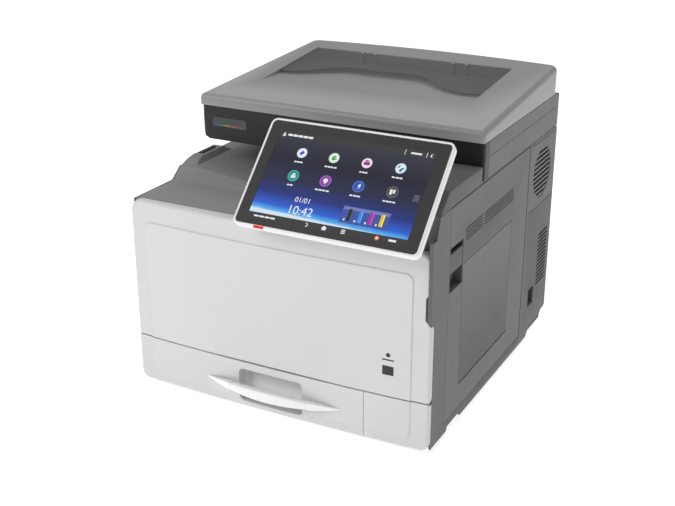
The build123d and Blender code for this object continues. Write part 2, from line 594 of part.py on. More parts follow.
def output_tray():
    """Deck behind the door, ramp, sloping tray floor and raised left end."""
    right = PILLAR_X - GAP
    left = -HALF + SKIN + LOOSE
    deck = box(left, right, SIDE_Y + 0.7, 118, DECK_Z - 4, DECK_Z)
    lip = outline([(SIDE_Y - 0.2, DECK_Z - 4), (SIDE_Y - 0.2, DECK_Z - 2), (SIDE_Y + 8, DECK_Z + 1.5),
                   (SIDE_Y + 12, DECK_Z), (SIDE_Y + 12, DECK_Z - 4)])
    deck = deck + along_x(lip, left + 4, right)
    deck = deck + box(right - CUT, HALF - 8, SIDE_Y - 0.2, SHOULDER_Y - 0.4, DECK_Z - 4, DECK_Z + 1)
    floor_shape = [(HUMP_X, tray_z(HUMP_X)), (right, tray_z(right)), (right, tray_z(right) - SKIN),
                   (HUMP_X, tray_z(HUMP_X) - SKIN)]
    floor = along_y(outline(floor_shape), 138, REAR_WALL_Y - GAP)
    high = [(left, TRAY_EDGE_Z), (HUMP_X, tray_z(HUMP_X)), (right, tray_z(right)), (right, tray_z(right) - 4),
            (HUMP_X, tray_z(HUMP_X) - 4), (left, TRAY_EDGE_Z - 4)]
    near = [(left, DECK_Z), (HUMP_X, DECK_Z), (right, DECK_Z), (right, DECK_Z - 4), (HUMP_X, DECK_Z - 4),
            (left, DECK_Z - 4)]
    ramp = loft([Plane.XZ.offset(-118) * outline(near), Plane.XZ.offset(-138) * outline(high)], ruled=True)
    hump = [(138, TRAY_EDGE_Z - 4), (138, TRAY_EDGE_Z), (158, 334), (176, 337), (236, 337),
            (250, TRAY_EDGE_Z + 1), (REAR_WALL_Y - GAP, TRAY_EDGE_Z + 1),
            (REAR_WALL_Y - GAP, TRAY_EDGE_Z - 4)]
    end = along_x(outline(hump), left, HUMP_X + 1)
    floor_z = tray_z(HUMP_X)
    slope = outline([(HUMP_X + 2, 345), (HUMP_X + 2, floor_z - 0.2), (HUMP_X - 2, floor_z),
                     (HUMP_X - 21, 345)])
    end = end - along_y(slope, 130, 440)
    tray = deck + floor + ramp + end
    tray = tray - box(STOP_X - 7, STOP_X + 7, STOP_Y[0] - 1, STOP_Y[1] + 1, STOP_Z - 5, STOP_Z + 12)
    tray = tray - rod_y(STOP_Y[0] - 4, STOP_Y[1] + 4, STOP_X - 3, STOP_Z, 1.2 + RUN)
    skirt = box(right - 3, right, 138, REAR_WALL_Y - 2, tray_z(right) - 9, tray_z(right) - 1)
    tray = tray + skirt
    for y in (60, 200, 400):
        top = TRAY_EDGE_Z - 3 if y > 138 else DECK_Z - 3
        tray = tray + box(-WALL_X, -WALL_X + 5, y, y + 10, DECK_Z - 12, top)
    return tray


def paper_stop():
    """Black flip-up stop at the end of the output tray."""
    y0, y1 = STOP_Y
    bar = box(STOP_X - 5, STOP_X + 5, y0, y1, STOP_Z - 2, STOP_Z + 4)
    bar = fillet(bar.edges().filter_by(Axis.Y).group_by(Axis.Z)[-1], 2)
    return bar + rod_y(y0 - 3.5, y1 + 3.5, STOP_X - 3, STOP_Z, 1.2)


def inner_cover():
    """Plate behind the front door, with openings for the toner bottles and the door's pins."""
    y0 = SIDE_Y + 2.2
    low = SHELF_Z + 2.2
    plate = box(-WALL_X, HALF - 8, y0, y0 + SKIN, low, DECK_Z - 4.2)
    for x in BOTTLE_X:
        plate = plate - rod_y(y0 - CUT, y0 + 4, x, BOTTLE_SHELF_Z + LOOSE + BOTTLE_R, BOTTLE_R + CUT)
    for side in (-1, 1):
        x0, x1 = sorted((side * (DOOR_EAR_X - 12), side * (DOOR_EAR_X - 4)))
        arm = box(x0, x1, DOOR_AXIS_Y, y0 + CUT, DOOR_AXIS_Z - 2.9, DOOR_AXIS_Z + 2.9)
        arm = arm + rod_x(x0, x1, DOOR_AXIS_Y, DOOR_AXIS_Z, 2.9)
        pin_end = side * (DOOR_EAR_X + 4)
        a, b = sorted((side * (DOOR_EAR_X - 8), pin_end))
        plate = plate + arm + rod_x(a, b, DOOR_AXIS_Y, DOOR_AXIS_Z, DOOR_PIN_R)
    for x in (-HALF + 19, 30, HALF - 49):
        plate = plate + box(x, x + 8, y0 + 1, 60 if x > 100 else 30, SHELF_Z + SHEET, SHELF_Z + 8)
    return plate


# ======================================================================= right door
def right_door():
    """Jam door on the right: shell with the bypass opening, vents, latch pocket and hinge blocks."""
    y0, y1 = RDOOR_Y
    z0, z1 = RDOOR_Z
    x0 = HALF - RDOOR_DEPTH
    shell = box(x0, HALF, y0, y1, z0, z1)
    shell = fillet(shell.edges().filter_by(Axis.Z).group_by(Axis.Y)[-1].sort_by(Axis.X)[-1], 2.4)
    shell = shell - box(x0 - CUT, HALF - SKIN, y0 + SKIN, y1 - SKIN, z0 + SKIN, z1 - SKIN)
    wall_y = (BYPASS_Y[0] - GAP, BYPASS_Y[1] + GAP)
    wall_z = (BYPASS_Z[0] - GAP, BYPASS_Z[1] + GAP)
    frame = box(x0 + 6, HALF - 1, wall_y[0] - SKIN, wall_y[1] + SKIN, wall_z[0] - SKIN, wall_z[1] + 0.1)
    frame = frame - box(x0, HALF, wall_y[0], wall_y[1], wall_z[0], wall_z[1] + CUT)
    top_lip = box(HALF - 5, HALF - 1, wall_y[0] - SKIN, wall_y[1] + SKIN, wall_z[1], wall_z[1] + SKIN)
    pocket = box(x0 + 1, HALF - 1, y0 + 0.1, LATCH_POCKET_Y + SKIN, LATCH_POCKET_Z[0] - SKIN,
                 LATCH_POCKET_Z[1] + SKIN)
    shell = shell + frame + top_lip + pocket
    shell = shell - box(x0 + 1 + SKIN, HALF + CUT, y0 + 1.2, LATCH_POCKET_Y, LATCH_POCKET_Z[0],
                        LATCH_POCKET_Z[1])
    shell = shell - box(x0 - CUT, HALF + CUT, wall_y[0], wall_y[1], wall_z[0], wall_z[1])
    x, y = RDOOR_AXIS
    for za, zb in ((z0, z0 + 12), (z1 - 12, z1)):
        shell = shell + box(x - 6, HALF - 1, y - 6, y1 - 0.5, za, zb)
    shell = shell - rod_z(z0 - CUT, z0 + 10, x, y, RDOOR_PIN_R + RUN)
    shell = shell - rod_z(z1 - 10, z1 + CUT, x, y, RDOOR_PIN_R + RUN)
    pin_y = (BYPASS_Y[0] - 6, BYPASS_Y[1] + 6)
    shell = shell - rod_y(pin_y[0], pin_y[1], BYPASS_AXIS_X, BYPASS_AXIS_Z, RDOOR_PIN_R + RUN)
    slots = louvre(HALF - 4, HALF + CUT, 123, 190, 294, 4.4, 5, 1.6)
    slots = slots + louvre(HALF - 4, HALF + CUT, 197, 322, 294, 4.4, 5, 1.6)
    shell = shell - total(slots)
    y, z = LATCH_Y[0], LATCH_Z[1] - 3
    return shell - rod_y(y - 1.8, LATCH_Y[1] + 2.6, HALF - 4, z, 1.2 + RUN)


def right_door_latch():
    """Finger plate that releases the right door; it pivots on a pin at its top."""
    y0, y1 = LATCH_Y
    plate = box(HALF - 5.5, HALF - 0.3, y0, y1, LATCH_Z[0], LATCH_Z[1])
    plate = fillet(plate.edges().filter_by(Axis.Y).sort_by(Axis.X)[-2:], 1.5)
    return plate + rod_y(y0 - 0.4, y1 + 1.2, HALF - 4, LATCH_Z[1] - 3, 1.2)


def bypass_tray():
    """Hand-feed tray that folds down from the right door, with rails for its extension."""
    y0, y1 = BYPASS_Y
    z0, z1 = BYPASS_Z
    tray = box(HALF - SKIN, HALF, y0, y1, z0, z1)
    tray = fillet(tray.edges().filter_by(Axis.Y).sort_by(lambda e: e.center().Z - e.center().X)[0], 2.4)
    tray = tray + box(HALF - 5.8, HALF - 1, y0, y1, z0 + 0.4, z0 + 5.8)
    tray = tray + rod_y(y0 - 3, y1 + 3, BYPASS_AXIS_X, BYPASS_AXIS_Z, RDOOR_PIN_R)
    for y in (y0 + 16, y1 - 21):
        tray = tray + box(HALF - 11, HALF - 1, y, y + 5, z0 + 16, z1 - 4)
    groove = box(EXT_X[0] - LOOSE, EXT_X[1] + LOOSE, EXT_Y[0] - LOOSE, EXT_Y[1] + LOOSE, z0 + 15, z1)
    return tray - groove


def bypass_extension():
    """Sliding extension of the bypass tray, with a lightening window."""
    z0 = BYPASS_Z[0] + 20
    plate = box(EXT_X[0], EXT_X[1], EXT_Y[0], EXT_Y[1], z0, BYPASS_Z[1] - 6)
    window = box(EXT_X[0] - CUT, EXT_X[1] + CUT, EXT_Y[0] + 30, EXT_Y[1] - 30, z0 + 40, z0 + 110)
    return plate - window


# ======================================================================= drawer
def cassette_tray():
    """Open paper tray with side rails and lugs for its lifting plate."""
    x0, x1 = CASSETTE_X
    y0, y1 = DRAWER_Y
    z0, z1 = CASSETTE_Z
    tray = box(x0, x1, y0 + 8, y1, z0, z1)
    tray = tray - box(x0 + SKIN, x1 - SKIN, y0 + 8 + SKIN, y1 - SKIN, z0 + SKIN, z1 + CUT)
    for x in BOSS_X:
        tray = tray + box(x - 5, x + 5, y0, y0 + 9, 32, 58)
    tray = tray + box(x0 - 5.5, x0 + 1, y0 + 20, y1, RAIL_Z + LOOSE, RAIL_Z + 4)
    tray = tray + box(x1 - 1, x1 + 4, y0 + 20, y1, RAIL_Z + LOOSE, RAIL_Z + 4)
    for y in (PAPER_Y - 44, PAPER_Y + 40):
        lug = box(LIFT_X[0] - 3, LIFT_X[0] + 3, y, y + 4, z0 + 1, LIFT_Z + 3)
        tray = tray + lug - rod_y(y - 1, y + 5, LIFT_X[0], LIFT_Z, 1.5 + RUN)
    return tray


def lift_plate():
    """Plate that lifts the stack to the feed roller; its sides leave room for the fences."""
    spine = box(LIFT_X[0], LIFT_X[1], PAPER_Y - 38, PAPER_Y + 38, LIFT_Z - 0.75, LIFT_Z + 0.75)
    wing = box(LIFT_X[1] - 42, LIFT_X[1], PAPER_Y - 100, PAPER_Y + 100, LIFT_Z - 0.75, LIFT_Z + 0.75)
    plate = spine + wing + rod_y(PAPER_Y - 39.5, PAPER_Y + 39.5, LIFT_X[0], LIFT_Z, 2.5)
    return plate + rod_y(PAPER_Y - 43.5, PAPER_Y + 43.5, LIFT_X[0], LIFT_Z, 1.5)


def side_fence(side):
    """One of the two paper side fences; the pair closes on the middle of the paper."""
    face = PAPER_Y + side * PAPER_W / 2
    z = CASSETTE_Z[0] + SKIN + LOOSE
    a, b = sorted((face, face + side * 3))
    c, d = sorted((face - side * 8, face + side * 16))
    fence = box(20, 84, a, b, z, 70) + box(24, 80, c, d, z, z + 2)
    for x in (28, 72):
        e, f = sorted((face + side * 2, face + side * 14))
        fence = fence + box(x, x + 3, e, f, z, 46)
    return fence


def end_fence():
    """Fence behind the stack's trailing edge."""
    x = PAPER_RIGHT - PAPER_L
    z = CASSETTE_Z[0] + SKIN + LOOSE
    fence = box(x - 3, x, PAPER_Y - 22, PAPER_Y + 22, z, 70)
    fence = fence + box(x - 26, x + 2, PAPER_Y - 14, PAPER_Y + 14, z, z + 2)
    brace = outline([(x - 24, z), (x - 2, z), (x - 2, 55)])
    return fence + along_y(brace, PAPER_Y - 2, PAPER_Y + 2)


# ======================================================================= works
def feed_roller():
    roller = rod_y(163, 257, FEED_X, FEED_Z, 3) + rod_y(178, 242, FEED_X, FEED_Z, FEED_R)
    return roller


def laser_unit():
    """Closed exposure box on the shelf, with a slit window for each drum."""
    unit = box(-215, 90, 60, 400, SHELF_Z + SHEET, LASER_TOP)
    for x in DRUM_X:
        unit = unit - box(x - 2, x + 2, 100, 350, LASER_TOP - 3, LASER_TOP + CUT)
    return unit


def drum(index):
    """Photoconductor drum with end flanges and a shaft that reaches the drive unit."""
    x = DRUM_X[index]
    body = rod_y(DRUM_Y[0], DRUM_Y[1], x, DRUM_Z, DRUM_R)
    body = body + rod_y(102, DRIVE_Y + 6, x, DRUM_Z, SHAFT_R)
    return body + rod_y(DRUM_Y[1], DRUM_Y[1] + 4, x, DRUM_Z, 9)


def developer_units():
    """Four developer units; their end plates carry the drums."""
    units = []
    for x in DRUM_X:
        block = box(x - 46, x - DRUM_R - 1.5, 104, 350, LASER_TOP, DRUM_Z + 14)
        block = fillet(block.edges().filter_by(Axis.Y), 4)
        low = total([box(x - 46, x + 6, y, y + 4, LASER_TOP, DRUM_Z + 8) for y in (103, 346)])
        unit = block + low - rod_y(100, 355, x, DRUM_Z, SHAFT_R + RUN)
        units.append(unit - rod_y(107, 346, x, DRUM_Z, DRUM_R + 1))
    return units


def transfer_belt():
    """Belt loop with its two rollers, carried by end plates that stand on the laser unit."""
    z = DRUM_Z + DRUM_R + 17.4
    x0, x1 = DRUM_X[0] - 12, DRUM_X[3] + 30
    length = x1 - x0 + 34
    middle = Pos((x0 + x1) / 2, z)
    band = along_y(middle * SlotOverall(length, 34), 112, 340)
    band = band - along_y(middle * SlotOverall(length - 2, 32), 110, 342)
    rollers = [rod_y(108, 344, x, z, 15.2) for x in (x0, x1)]
    frame = box(x0 - 4, x1 + 4, 94, 98, z - 8, z + 8) + box(x0 - 4, x1 + 4, 354, 358, z - 8, z + 8)
    for x in (x0, x1):
        frame = frame + rod_y(96, 109, x, z, 3) + rod_y(343, 356, x, z, 3)
    for x in (DRUM_X[0] - 40, x1 - 8):
        for y in (94, 354):
            frame = frame + box(x, x + 8, y, y + 4, LASER_TOP, z)
    return [band, total(rollers) + frame]


def toner_bottles():
    """Four toner bottles lying on their shelf, each with a grip cap and a feed rib."""
    bottles = []
    z = BOTTLE_SHELF_Z + LOOSE + BOTTLE_R
    for x in BOTTLE_X:
        bottle = rod_y(34, 330, x, z, BOTTLE_R - 2) + rod_y(SIDE_Y + 3, 40, x, z, BOTTLE_R)
        for i in range(9):
            bottle = bottle + rod_y(60 + 28 * i, 64 + 28 * i, x, z, BOTTLE_R)
        grip = box(x - 3, x + 3, SIDE_Y + 1, SIDE_Y + 4, z - 15, z + 15)
        bottles.append(bottle + grip)
    return bottles


def fuser_frame():
    """End plates and cross bar of the fuser, on their bracket."""
    base = FUSER_Z - 34
    frame = box(FUSER_X - 18, FUSER_X + 44, 84, 88, base, FUSER_Z + 18)
    frame = frame + box(FUSER_X - 18, FUSER_X + 44, 352, 356, base, FUSER_Z + 18)
    frame = frame + box(FUSER_X - 18, FUSER_X - 15.5, 84, 356, base, FUSER_Z + 18)
    for x in (FUSER_X, FUSER_X + 2 * FUSER_R + NIP):
        frame = frame - rod_y(80, 360, x, FUSER_Z, SHAFT_R + RUN)
    return frame


def fuser_roll(x):
    return rod_y(92, 348, x, FUSER_Z, FUSER_R) + rod_y(82, 358, x, FUSER_Z, SHAFT_R)


def drive_unit():
    """Closed gearbox with the main motor; four sockets take the drum shafts."""
    unit = box(-205, 60, DRIVE_Y, DRIVE_Y + 34, 140, 190)
    unit = unit + rod_y(DRIVE_Y + 34, DRIVE_Y + 62, -70, 165, 22)
    unit = unit + box(-205, -193, DRIVE_Y + 30, DEPTH - 8 - SHEET, 150, 162)
    unit = unit + box(48, 60, DRIVE_Y + 30, DEPTH - 8 - SHEET, 150, 162)
    for x in DRUM_X:
        unit = unit - rod_y(DRIVE_Y - CUT, DRIVE_Y + 8, x, DRUM_Z, SHAFT_R + RUN)
    return unit


def power_supply():
    """Boxed power supply on the shelf."""
    box_ = box(-225, -30, 412, 500, SHELF_Z + SHEET, 134)
    slots = [box(-205 + 14 * i, -199 + 14 * i, 430, 480, 131, 136) for i in range(11)]
    return box_ - total(slots)


def main_board():
    """Control board on stand-offs in front of the rear wall, with its larger chips."""
    rear = DEPTH - 8 - SHEET
    board = box(-200, 60, rear - 14, rear - 12.4, 205, 320)
    for x in (-190, 50):
        for z in (215, 310):
            board = board + rod_y(rear - 13, rear, x, z, 3)
    for x, z, w in ((-120, 270, 30), (-60, 240, 22), (0, 280, 26), (-160, 235, 18)):
        board = board + box(x, x + w, rear - 17, rear - 13.9, z, z + w)
    return board


def fan_grille():
    """Round slatted grille with the fan's ring, spokes and pin behind it."""
    x1 = HALF - 0.6
    ring = rod_x(HALF - SKIN, x1, FAN_Y, FAN_Z, FAN_R) - rod_x(HALF - 4, HALF, FAN_Y, FAN_Z, FAN_R - 2)
    slats = [box(HALF - SKIN, x1, FAN_Y - FAN_R, FAN_Y + FAN_R, z - 2, z + 2)
             for z in [FAN_Z - 40 + 8 * i for i in range(11)]]
    slats = total(slats) & rod_x(HALF - 4, HALF, FAN_Y, FAN_Z, FAN_R - 1)
    tube = rod_x(HALF - 28, HALF - SKIN + 0.5, FAN_Y, FAN_Z, FAN_R)
    tube = tube - rod_x(HALF - 30, HALF, FAN_Y, FAN_Z, FAN_R - 2)
    spokes = box(HALF - 28, HALF - 26, FAN_Y - FAN_R + 1, FAN_Y + FAN_R - 1, FAN_Z - 2, FAN_Z + 2)
    spokes = spokes + box(HALF - 28, HALF - 26, FAN_Y - 2, FAN_Y + 2, FAN_Z - FAN_R + 1, FAN_Z + FAN_R - 1)
    pin = rod_x(HALF - 27, HALF - 10, FAN_Y, FAN_Z, 2)
    foot = box(HALF - 28, HALF - 20, FAN_Y - 6, FAN_Y + 6, FAN_Z - FAN_R - 4, FAN_Z - FAN_R + 1.5)
    arm = box(SHELF_X, POST_X, FAN_Y - 6, DEPTH - 8 - SHEET, FAN_Z - FAN_R - 6, FAN_Z - FAN_R - 3)
    return ring + slats + tube + spokes + pin + foot + arm


def fan_rotor():
    """Seven-bladed fan wheel that turns on the pin."""
    x0, x1 = HALF - 24, HALF - 8
    hub = rod_x(x0, x1, FAN_Y, FAN_Z, 14)
    wheel = hub
    for i in range(7):
        blade = Pos((x0 + x1) / 2, 0, 26) * Rot(0, 0, 35) * Box(1.5, 18, 28)
        wheel = wheel + Pos(0, FAN_Y, FAN_Z) * Rot(360 / 7 * i, 0, 0) * blade
    return wheel - rod_x(x0 - CUT, x1 - 1, FAN_Y, FAN_Z, 2 + RUN)


def power_inlet():
    """Three-pin mains inlet in the rear cover."""
    rear = DEPTH - 8 - SHEET
    body = box(INLET_X - 14, INLET_X + 14, rear - 14, DEPTH, INLET_Z - 11, INLET_Z + 11)
    socket = Pos(INLET_X, INLET_Z) * RectangleRounded(24, 17, 4)
    body = body - along_y(socket, DEPTH - 17, DEPTH + CUT)
    for x, z in ((-7, -2), (0, 3), (7, -2)):
        pin = box(-1, 1, DEPTH - 18, DEPTH - 6, -2, 2)
        body = body + Pos(INLET_X + x, 0, INLET_Z + z) * pin
    return body


# ======================================================================= panel
def panel_frame():
    """White case of the operation panel, with a pocket for the glass and a pivot barrel."""
    wide = PANEL_X[1] - PANEL_X[0]
    face = Pos(wide / 2, PANEL_H / 2) * RectangleRounded(wide, PANEL_H, PANEL_R)
    case = extrude(face, amount=-PANEL_T)
    case = fillet(case.faces().sort_by(Axis.Z)[0].edges(), 4)
    case = fillet(case.faces().sort_by(Axis.Z)[-1].edges(), PANEL_EDGE_R)
    inner_r = PANEL_R - PANEL_RIM
    pocket = RectangleRounded(wide - 2 * PANEL_RIM, PANEL_H - 2 * PANEL_RIM, inner_r)
    case = case - extrude(Pos(wide / 2, PANEL_H / 2) * pocket, amount=-5)
    barrel_y = PANEL_PIVOT
    left = BARREL_X[0] - PANEL_X[0]
    right = BARREL_X[1] - PANEL_X[0]
    back = PANEL_T + PANEL_PIN_R + 1.5
    neck = box(left, right, barrel_y - 4, barrel_y + 4, -back, -PANEL_T + 1)
    barrel = rod_x(left, right, barrel_y, -back, 4) + neck
    case = case + barrel - rod_x(left - CUT, right + CUT, barrel_y, -back, PANEL_PIN_R + RUN)
    return panel_plane() * case


def panel_bezel():
    """Dark glass front round the screen."""
    wide = PANEL_X[1] - PANEL_X[0]
    rim = PANEL_RIM + 0.2
    face = Pos(wide / 2, PANEL_H / 2) * RectangleRounded(wide - 2 * rim, PANEL_H - 2 * rim, PANEL_R - rim)
    window = Pos(SCREEN_LEFT + SCREEN_W / 2, SCREEN_LOW + SCREEN_H / 2) * Rectangle(SCREEN_W, SCREEN_H)
    return panel_plane() * Pos(0, 0, -0.5) * extrude(face - window, amount=-4.5)


def panel_screen():
    """Touch screen set in the glass front."""
    middle = Pos(SCREEN_LEFT + SCREEN_W / 2, SCREEN_LOW + SCREEN_H / 2)
    face = middle * Rectangle(SCREEN_W - 0.2, SCREEN_H - 0.2)
    return panel_plane() * Pos(0, 0, -0.8) * extrude(face, amount=-4.2)


def panel_arm():
    """Bracket on the pillar with two lugs and the panel's pivot pin."""
    y, z = panel_point(PANEL_PIVOT, PANEL_T + PANEL_PIN_R + 1.5)
    plate = box(BARREL_X[0] - 14, BARREL_X[1] + 14, SHOULDER_Y - 3, SHOULDER_Y, z - 22, SEAM_Z)
    arm = plate
    for x0, x1 in ((BARREL_X[0] - 9, BARREL_X[0] - 1), (BARREL_X[1] + 1, BARREL_X[1] + 9)):
        arm = arm + box(x0, x1, y, SHOULDER_Y - 2, z - 6, z + 3.5) + rod_x(x0, x1, y, z, 3.5)
    return arm + rod_x(BARREL_X[0] - 5, BARREL_X[1] + 5, y, z, PANEL_PIN_R)


# ======================================================================= scanner
def scanner_tub():
    """Lower scanner tray."""
    x0, x1 = SCANNER_X + 4, HALF
    y0 = TRIM_Y + 4
    tub = box(x0, x1, TRIM_WRAP_Y + LOOSE, DEPTH - 1, SCANNER_Z, SCANNER_SEAM_Z)
    tub = tub + box(x0, x1 - 4, y0, TRIM_WRAP_Y + 1, SCANNER_Z, SCANNER_SEAM_Z)
    tub = fillet(tub.edges().filter_by(Axis.Z).sort_by(lambda e: e.center().X - e.center().Y)[0], 8)
    tub = tub - box(x0 + SKIN, x1 - 4 - SKIN, y0 + SKIN, DEPTH - 1 - SKIN, SCANNER_Z + SKIN,
                    SCANNER_SEAM_Z + CUT)
    return tub - rod_x(x0 - CUT, x1 - 5, CARRIAGE_Y, CARRIAGE_Z, ROD_R)


def hinge_scoop(r):
    """Round clearance along the lid's hinge line."""
    return rod_x(-HALF - 2, HALF + 2, LID_AXIS_Y, LID_AXIS_Z, r)


def scanner_top_frame():
    """Upper scanner frame round the platen glass."""
    x0, x1 = SCANNER_X + 1, HALF
    z0 = SCANNER_SEAM_Z + 0.6
    z1 = SCANNER_TOP - 0.4
    y0 = TRIM_Y + 4
    top = box(x0, x1, TRIM_WRAP_Y + LOOSE, DEPTH - 1, z0, z1)
    top = top + box(x0, x1 - 4, y0, TRIM_WRAP_Y + 1, z0, z1)
    top = top - box(x0 + SKIN, x1 - 4 - SKIN, y0 + SKIN, DEPTH - 1 - SKIN, z0 - CUT, z1 - 4)
    top = top + box(x0 + SKIN - 1, x1 - 6, y0 + SKIN - 1, y0 + SKIN + 2, SCANNER_SEAM_Z, z0 + 4)
    rear = DEPTH - 1 - SKIN
    top = top + box(x0 + 7, x1 - 9, rear - 3, rear, SCANNER_SEAM_Z - 4, z0 + 4)
    gx0, gx1, gy0, gy1 = GLASS
    top = top - box(gx0 + 6, gx1 - 6, gy0 + 6, gy1 - 6, z0, z1 + CUT)
    top = top - box(gx0, gx1, gy0, gy1, z1 - 3, z1 + CUT)
    return top - hinge_scoop(11)


def platen_glass():
    gx0, gx1, gy0, gy1 = GLASS
    z1 = SCANNER_TOP - 0.4
    return box(gx0 + LOOSE, gx1 - LOOSE, gy0 + LOOSE, gy1 - LOOSE, z1 - 3, z1)


def scanner_front_trim():
    """Black front of the scanner; it wraps the right corner as an upright strip."""
    z0 = SCANNER_Z
    z1 = SCANNER_TOP - 0.4
    left = SCANNER_X
    plan = [(left - 4, TRIM_Y + 3), (left - 4, TRIM_Y + 22), (left, TRIM_Y + 22), (left, TRIM_Y + 3.8),
            (HALF - 3.6, TRIM_Y + 3.8), (HALF - 3.6, TRIM_WRAP_Y), (HALF, TRIM_WRAP_Y), (HALF, TRIM_Y),
            (left, TRIM_Y)]
    trim = along_z(outline(plan), z0, z1)
    trim = fillet(trim.edges().filter_by(Axis.Z).sort_by(lambda e: e.center().Y - e.center().X)[0], 4)
    corner = outline([(left - 6, z0 - CUT), (left + 10, z0 - CUT), (left, z0 + 4), (left - 3, z0 + 12),
                      (left - 4.1, z0 + 40), (left - 6, z0 + 40)])
    return trim - along_y(corner, TRIM_Y - 5, TRIM_Y + 40)


def scan_carriage():
    """Scanning carriage on its rod, with a shoe that slides on the tray floor."""
    x0, x1 = GLASS[0] + 4, GLASS[0] + 40
    body = box(x0, x1, GLASS[2] - 1, GLASS[3] + 2, 386, 410)
    body = body - box(x0 + 14, x0 + 20, GLASS[2] + 7, GLASS[3] - 6, 404, 411)
    body = body + box(x0, x1, CARRIAGE_Y - 9, CARRIAGE_Y + 9, CARRIAGE_Z - 8, 387)
    body = body + box(x0 + 8, x1 - 8, 226, 236, SCANNER_Z + SKIN + LOOSE, 387)
    return body - rod_x(x0 - CUT, x1 + CUT, CARRIAGE_Y, CARRIAGE_Z, ROD_R + RUN)


def carriage_rod():
    return rod_x(SCANNER_X + 4.5, HALF - 5.5, CARRIAGE_Y, CARRIAGE_Z, ROD_R)


# ======================================================================= lid
def lid_plan(inset):
    """Plan of the lid: slanted left side and bowed back."""
    rear = DEPTH - LID_REAR_BOW
    x0, x1 = LID_LEFT[0] + inset, LID_LEFT[1] + inset
    right = HALF - inset
    front = LID_Y + inset
    back = ThreePointArc((right, rear - inset), ((right + x1) / 2, DEPTH - inset), (x1, rear - inset))
    sides = Polyline((x1, rear - inset), (x0, front), (right, front), (right, rear - inset))
    plan = make_face(Wire(back.edges() + sides.edges()))
    return fillet(plan.vertices().sort_by(Axis.Y)[-2:], LID_REAR_R - inset)


def lid_wedge(inset):
    """Everything below the sloped top of the lid."""
    y0, y1 = LID_Y - 10, DEPTH + 10
    profile = outline([(y0, SCANNER_TOP - 10), (y1, SCANNER_TOP - 10), (y1, lid_top(y1) - inset),
                       (y0, lid_top(y0) - inset)])
    return along_x(profile, -HALF - 10, HALF + 10)


def lid_shell():
    """Wedge-shaped lid cover with a sculpted recess and slots for its hinges."""
    low = SCANNER_TOP + 0.4
    shell = along_z(lid_plan(0), low, HEIGHT + 10) & lid_wedge(0)
    crown = shell.edges().filter_by(lambda e: e.center().Z > lid_top(e.center().Y) - 1)
    shell = fillet(crown, LID_CROWN_R)
    corners = shell.edges().filter_by(Axis.Z)
    shell = fillet(corners.sort_by(Axis.Y)[:2], 5)
    inner = along_z(lid_plan(3), low - CUT, HEIGHT) & lid_wedge(3)
    rx0, rx1 = RECESS_X
    ry0, ry1 = RECESS_Y
    floor = lid_top(ry0) - 3
    pan = outline([(ry0 - 3, lid_top(ry0 - 3) - 3), (ry1 + 3, floor - 3), (ry1 + 3, HEIGHT),
                   (ry0 - 3, HEIGHT)])
    inner = inner - along_x(pan, rx0 - 3, rx1 + 3)
    shell = shell - inner
    recess = outline([(ry0, lid_top(ry0)), (ry1, floor), (ry1, HEIGHT + 5), (ry0, HEIGHT + 5)])
    shell = shell - along_x(recess, rx0, rx1)
    for x in (-HINGE_X, HINGE_X):
        slot = rod_x(x - 16, x + 16, LID_AXIS_Y, LID_AXIS_Z, 6.5)
        slot = slot + box(x - 16, x + 16, LID_AXIS_Y - 6.5, LID_AXIS_Y + 6.5, low - CUT, LID_AXIS_Z)
        slot = slot + box(x - 16, x + 16, LID_AXIS_Y - 6.5, DEPTH + CUT, low - CUT,
                          LID_AXIS_Z + 1.5)
        block = box(x - 22, x + 22, LID_AXIS_Y - 9, LID_AXIS_Y + 3.2, low, LID_AXIS_Z + 8)
        shell = shell + block - slot
        shell = shell - rod_x(x - 20, x + 20, LID_AXIS_Y, LID_AXIS_Z, LID_PIN_R + RUN)
    for x in FLAP_PINS:
        y, z = flap_axis()
        ear = box(x - 2, x + 2, y - 2.6, ry1 + 1, floor - 1, z + 2)
        shell = shell + ear - rod_x(x - 3, x + 3, y, z, 1.0 + RUN)
    return shell


def flap_axis():
    """(y, z) of the smoked flap's pivot, just under the lid's top at the back of the recess."""
    y = RECESS_Y[1] - 4
    return y, lid_top(y) - 3.0


def lid_flap():
    """Smoked flap over the recess: wavy front edge and two pivot knuckles."""
    y, z = flap_axis()
    x0, x1 = RECESS_X[0] + GAP, RECESS_X[1] - GAP
    low, high = FLAP_Y[0], FLAP_Y[0] + FLAP_NOTCH
    a, b = FLAP_NOTCH_X
    front = Spline((x0, low), (a - 42, low), (a, (low + high) / 2), (a + 34, high - 2), ((a + b) / 2, high),
                   (b - 34, high), (b, (low + high) / 2), (b + 36, low), (x1, low))
    rear = Polyline((x1, low), (x1, FLAP_Y[1]), (x0, FLAP_Y[1]), (x0, low))
    sheet = along_z(make_face(Wire(front.edges() + rear.edges())), LID_FRONT_Z, HEIGHT + 4)
    slope = outline([(300, lid_top(300) - 0.4), (510, lid_top(510) - 0.4), (510, lid_top(510) - 0.4 - FLAP_T),
                     (300, lid_top(300) - 0.4 - FLAP_T)])
    flap = sheet & along_x(slope, x0 - 5, x1 + 5)
    for left, right in (FLAP_PINS[:2], FLAP_PINS[2:]):
        flap = flap - box(left - 3, left + 3, y - 3.5, y + 6, z - 5, HEIGHT + 5)
        flap = flap - box(right - 3, right + 3, y - 3.5, y + 6, z - 5, HEIGHT + 5)
        flap = flap + rod_x(left + 3, right - 3, y, z, 2.0) + rod_x(left - 2, right + 2, y, z, 1.0)
    return flap


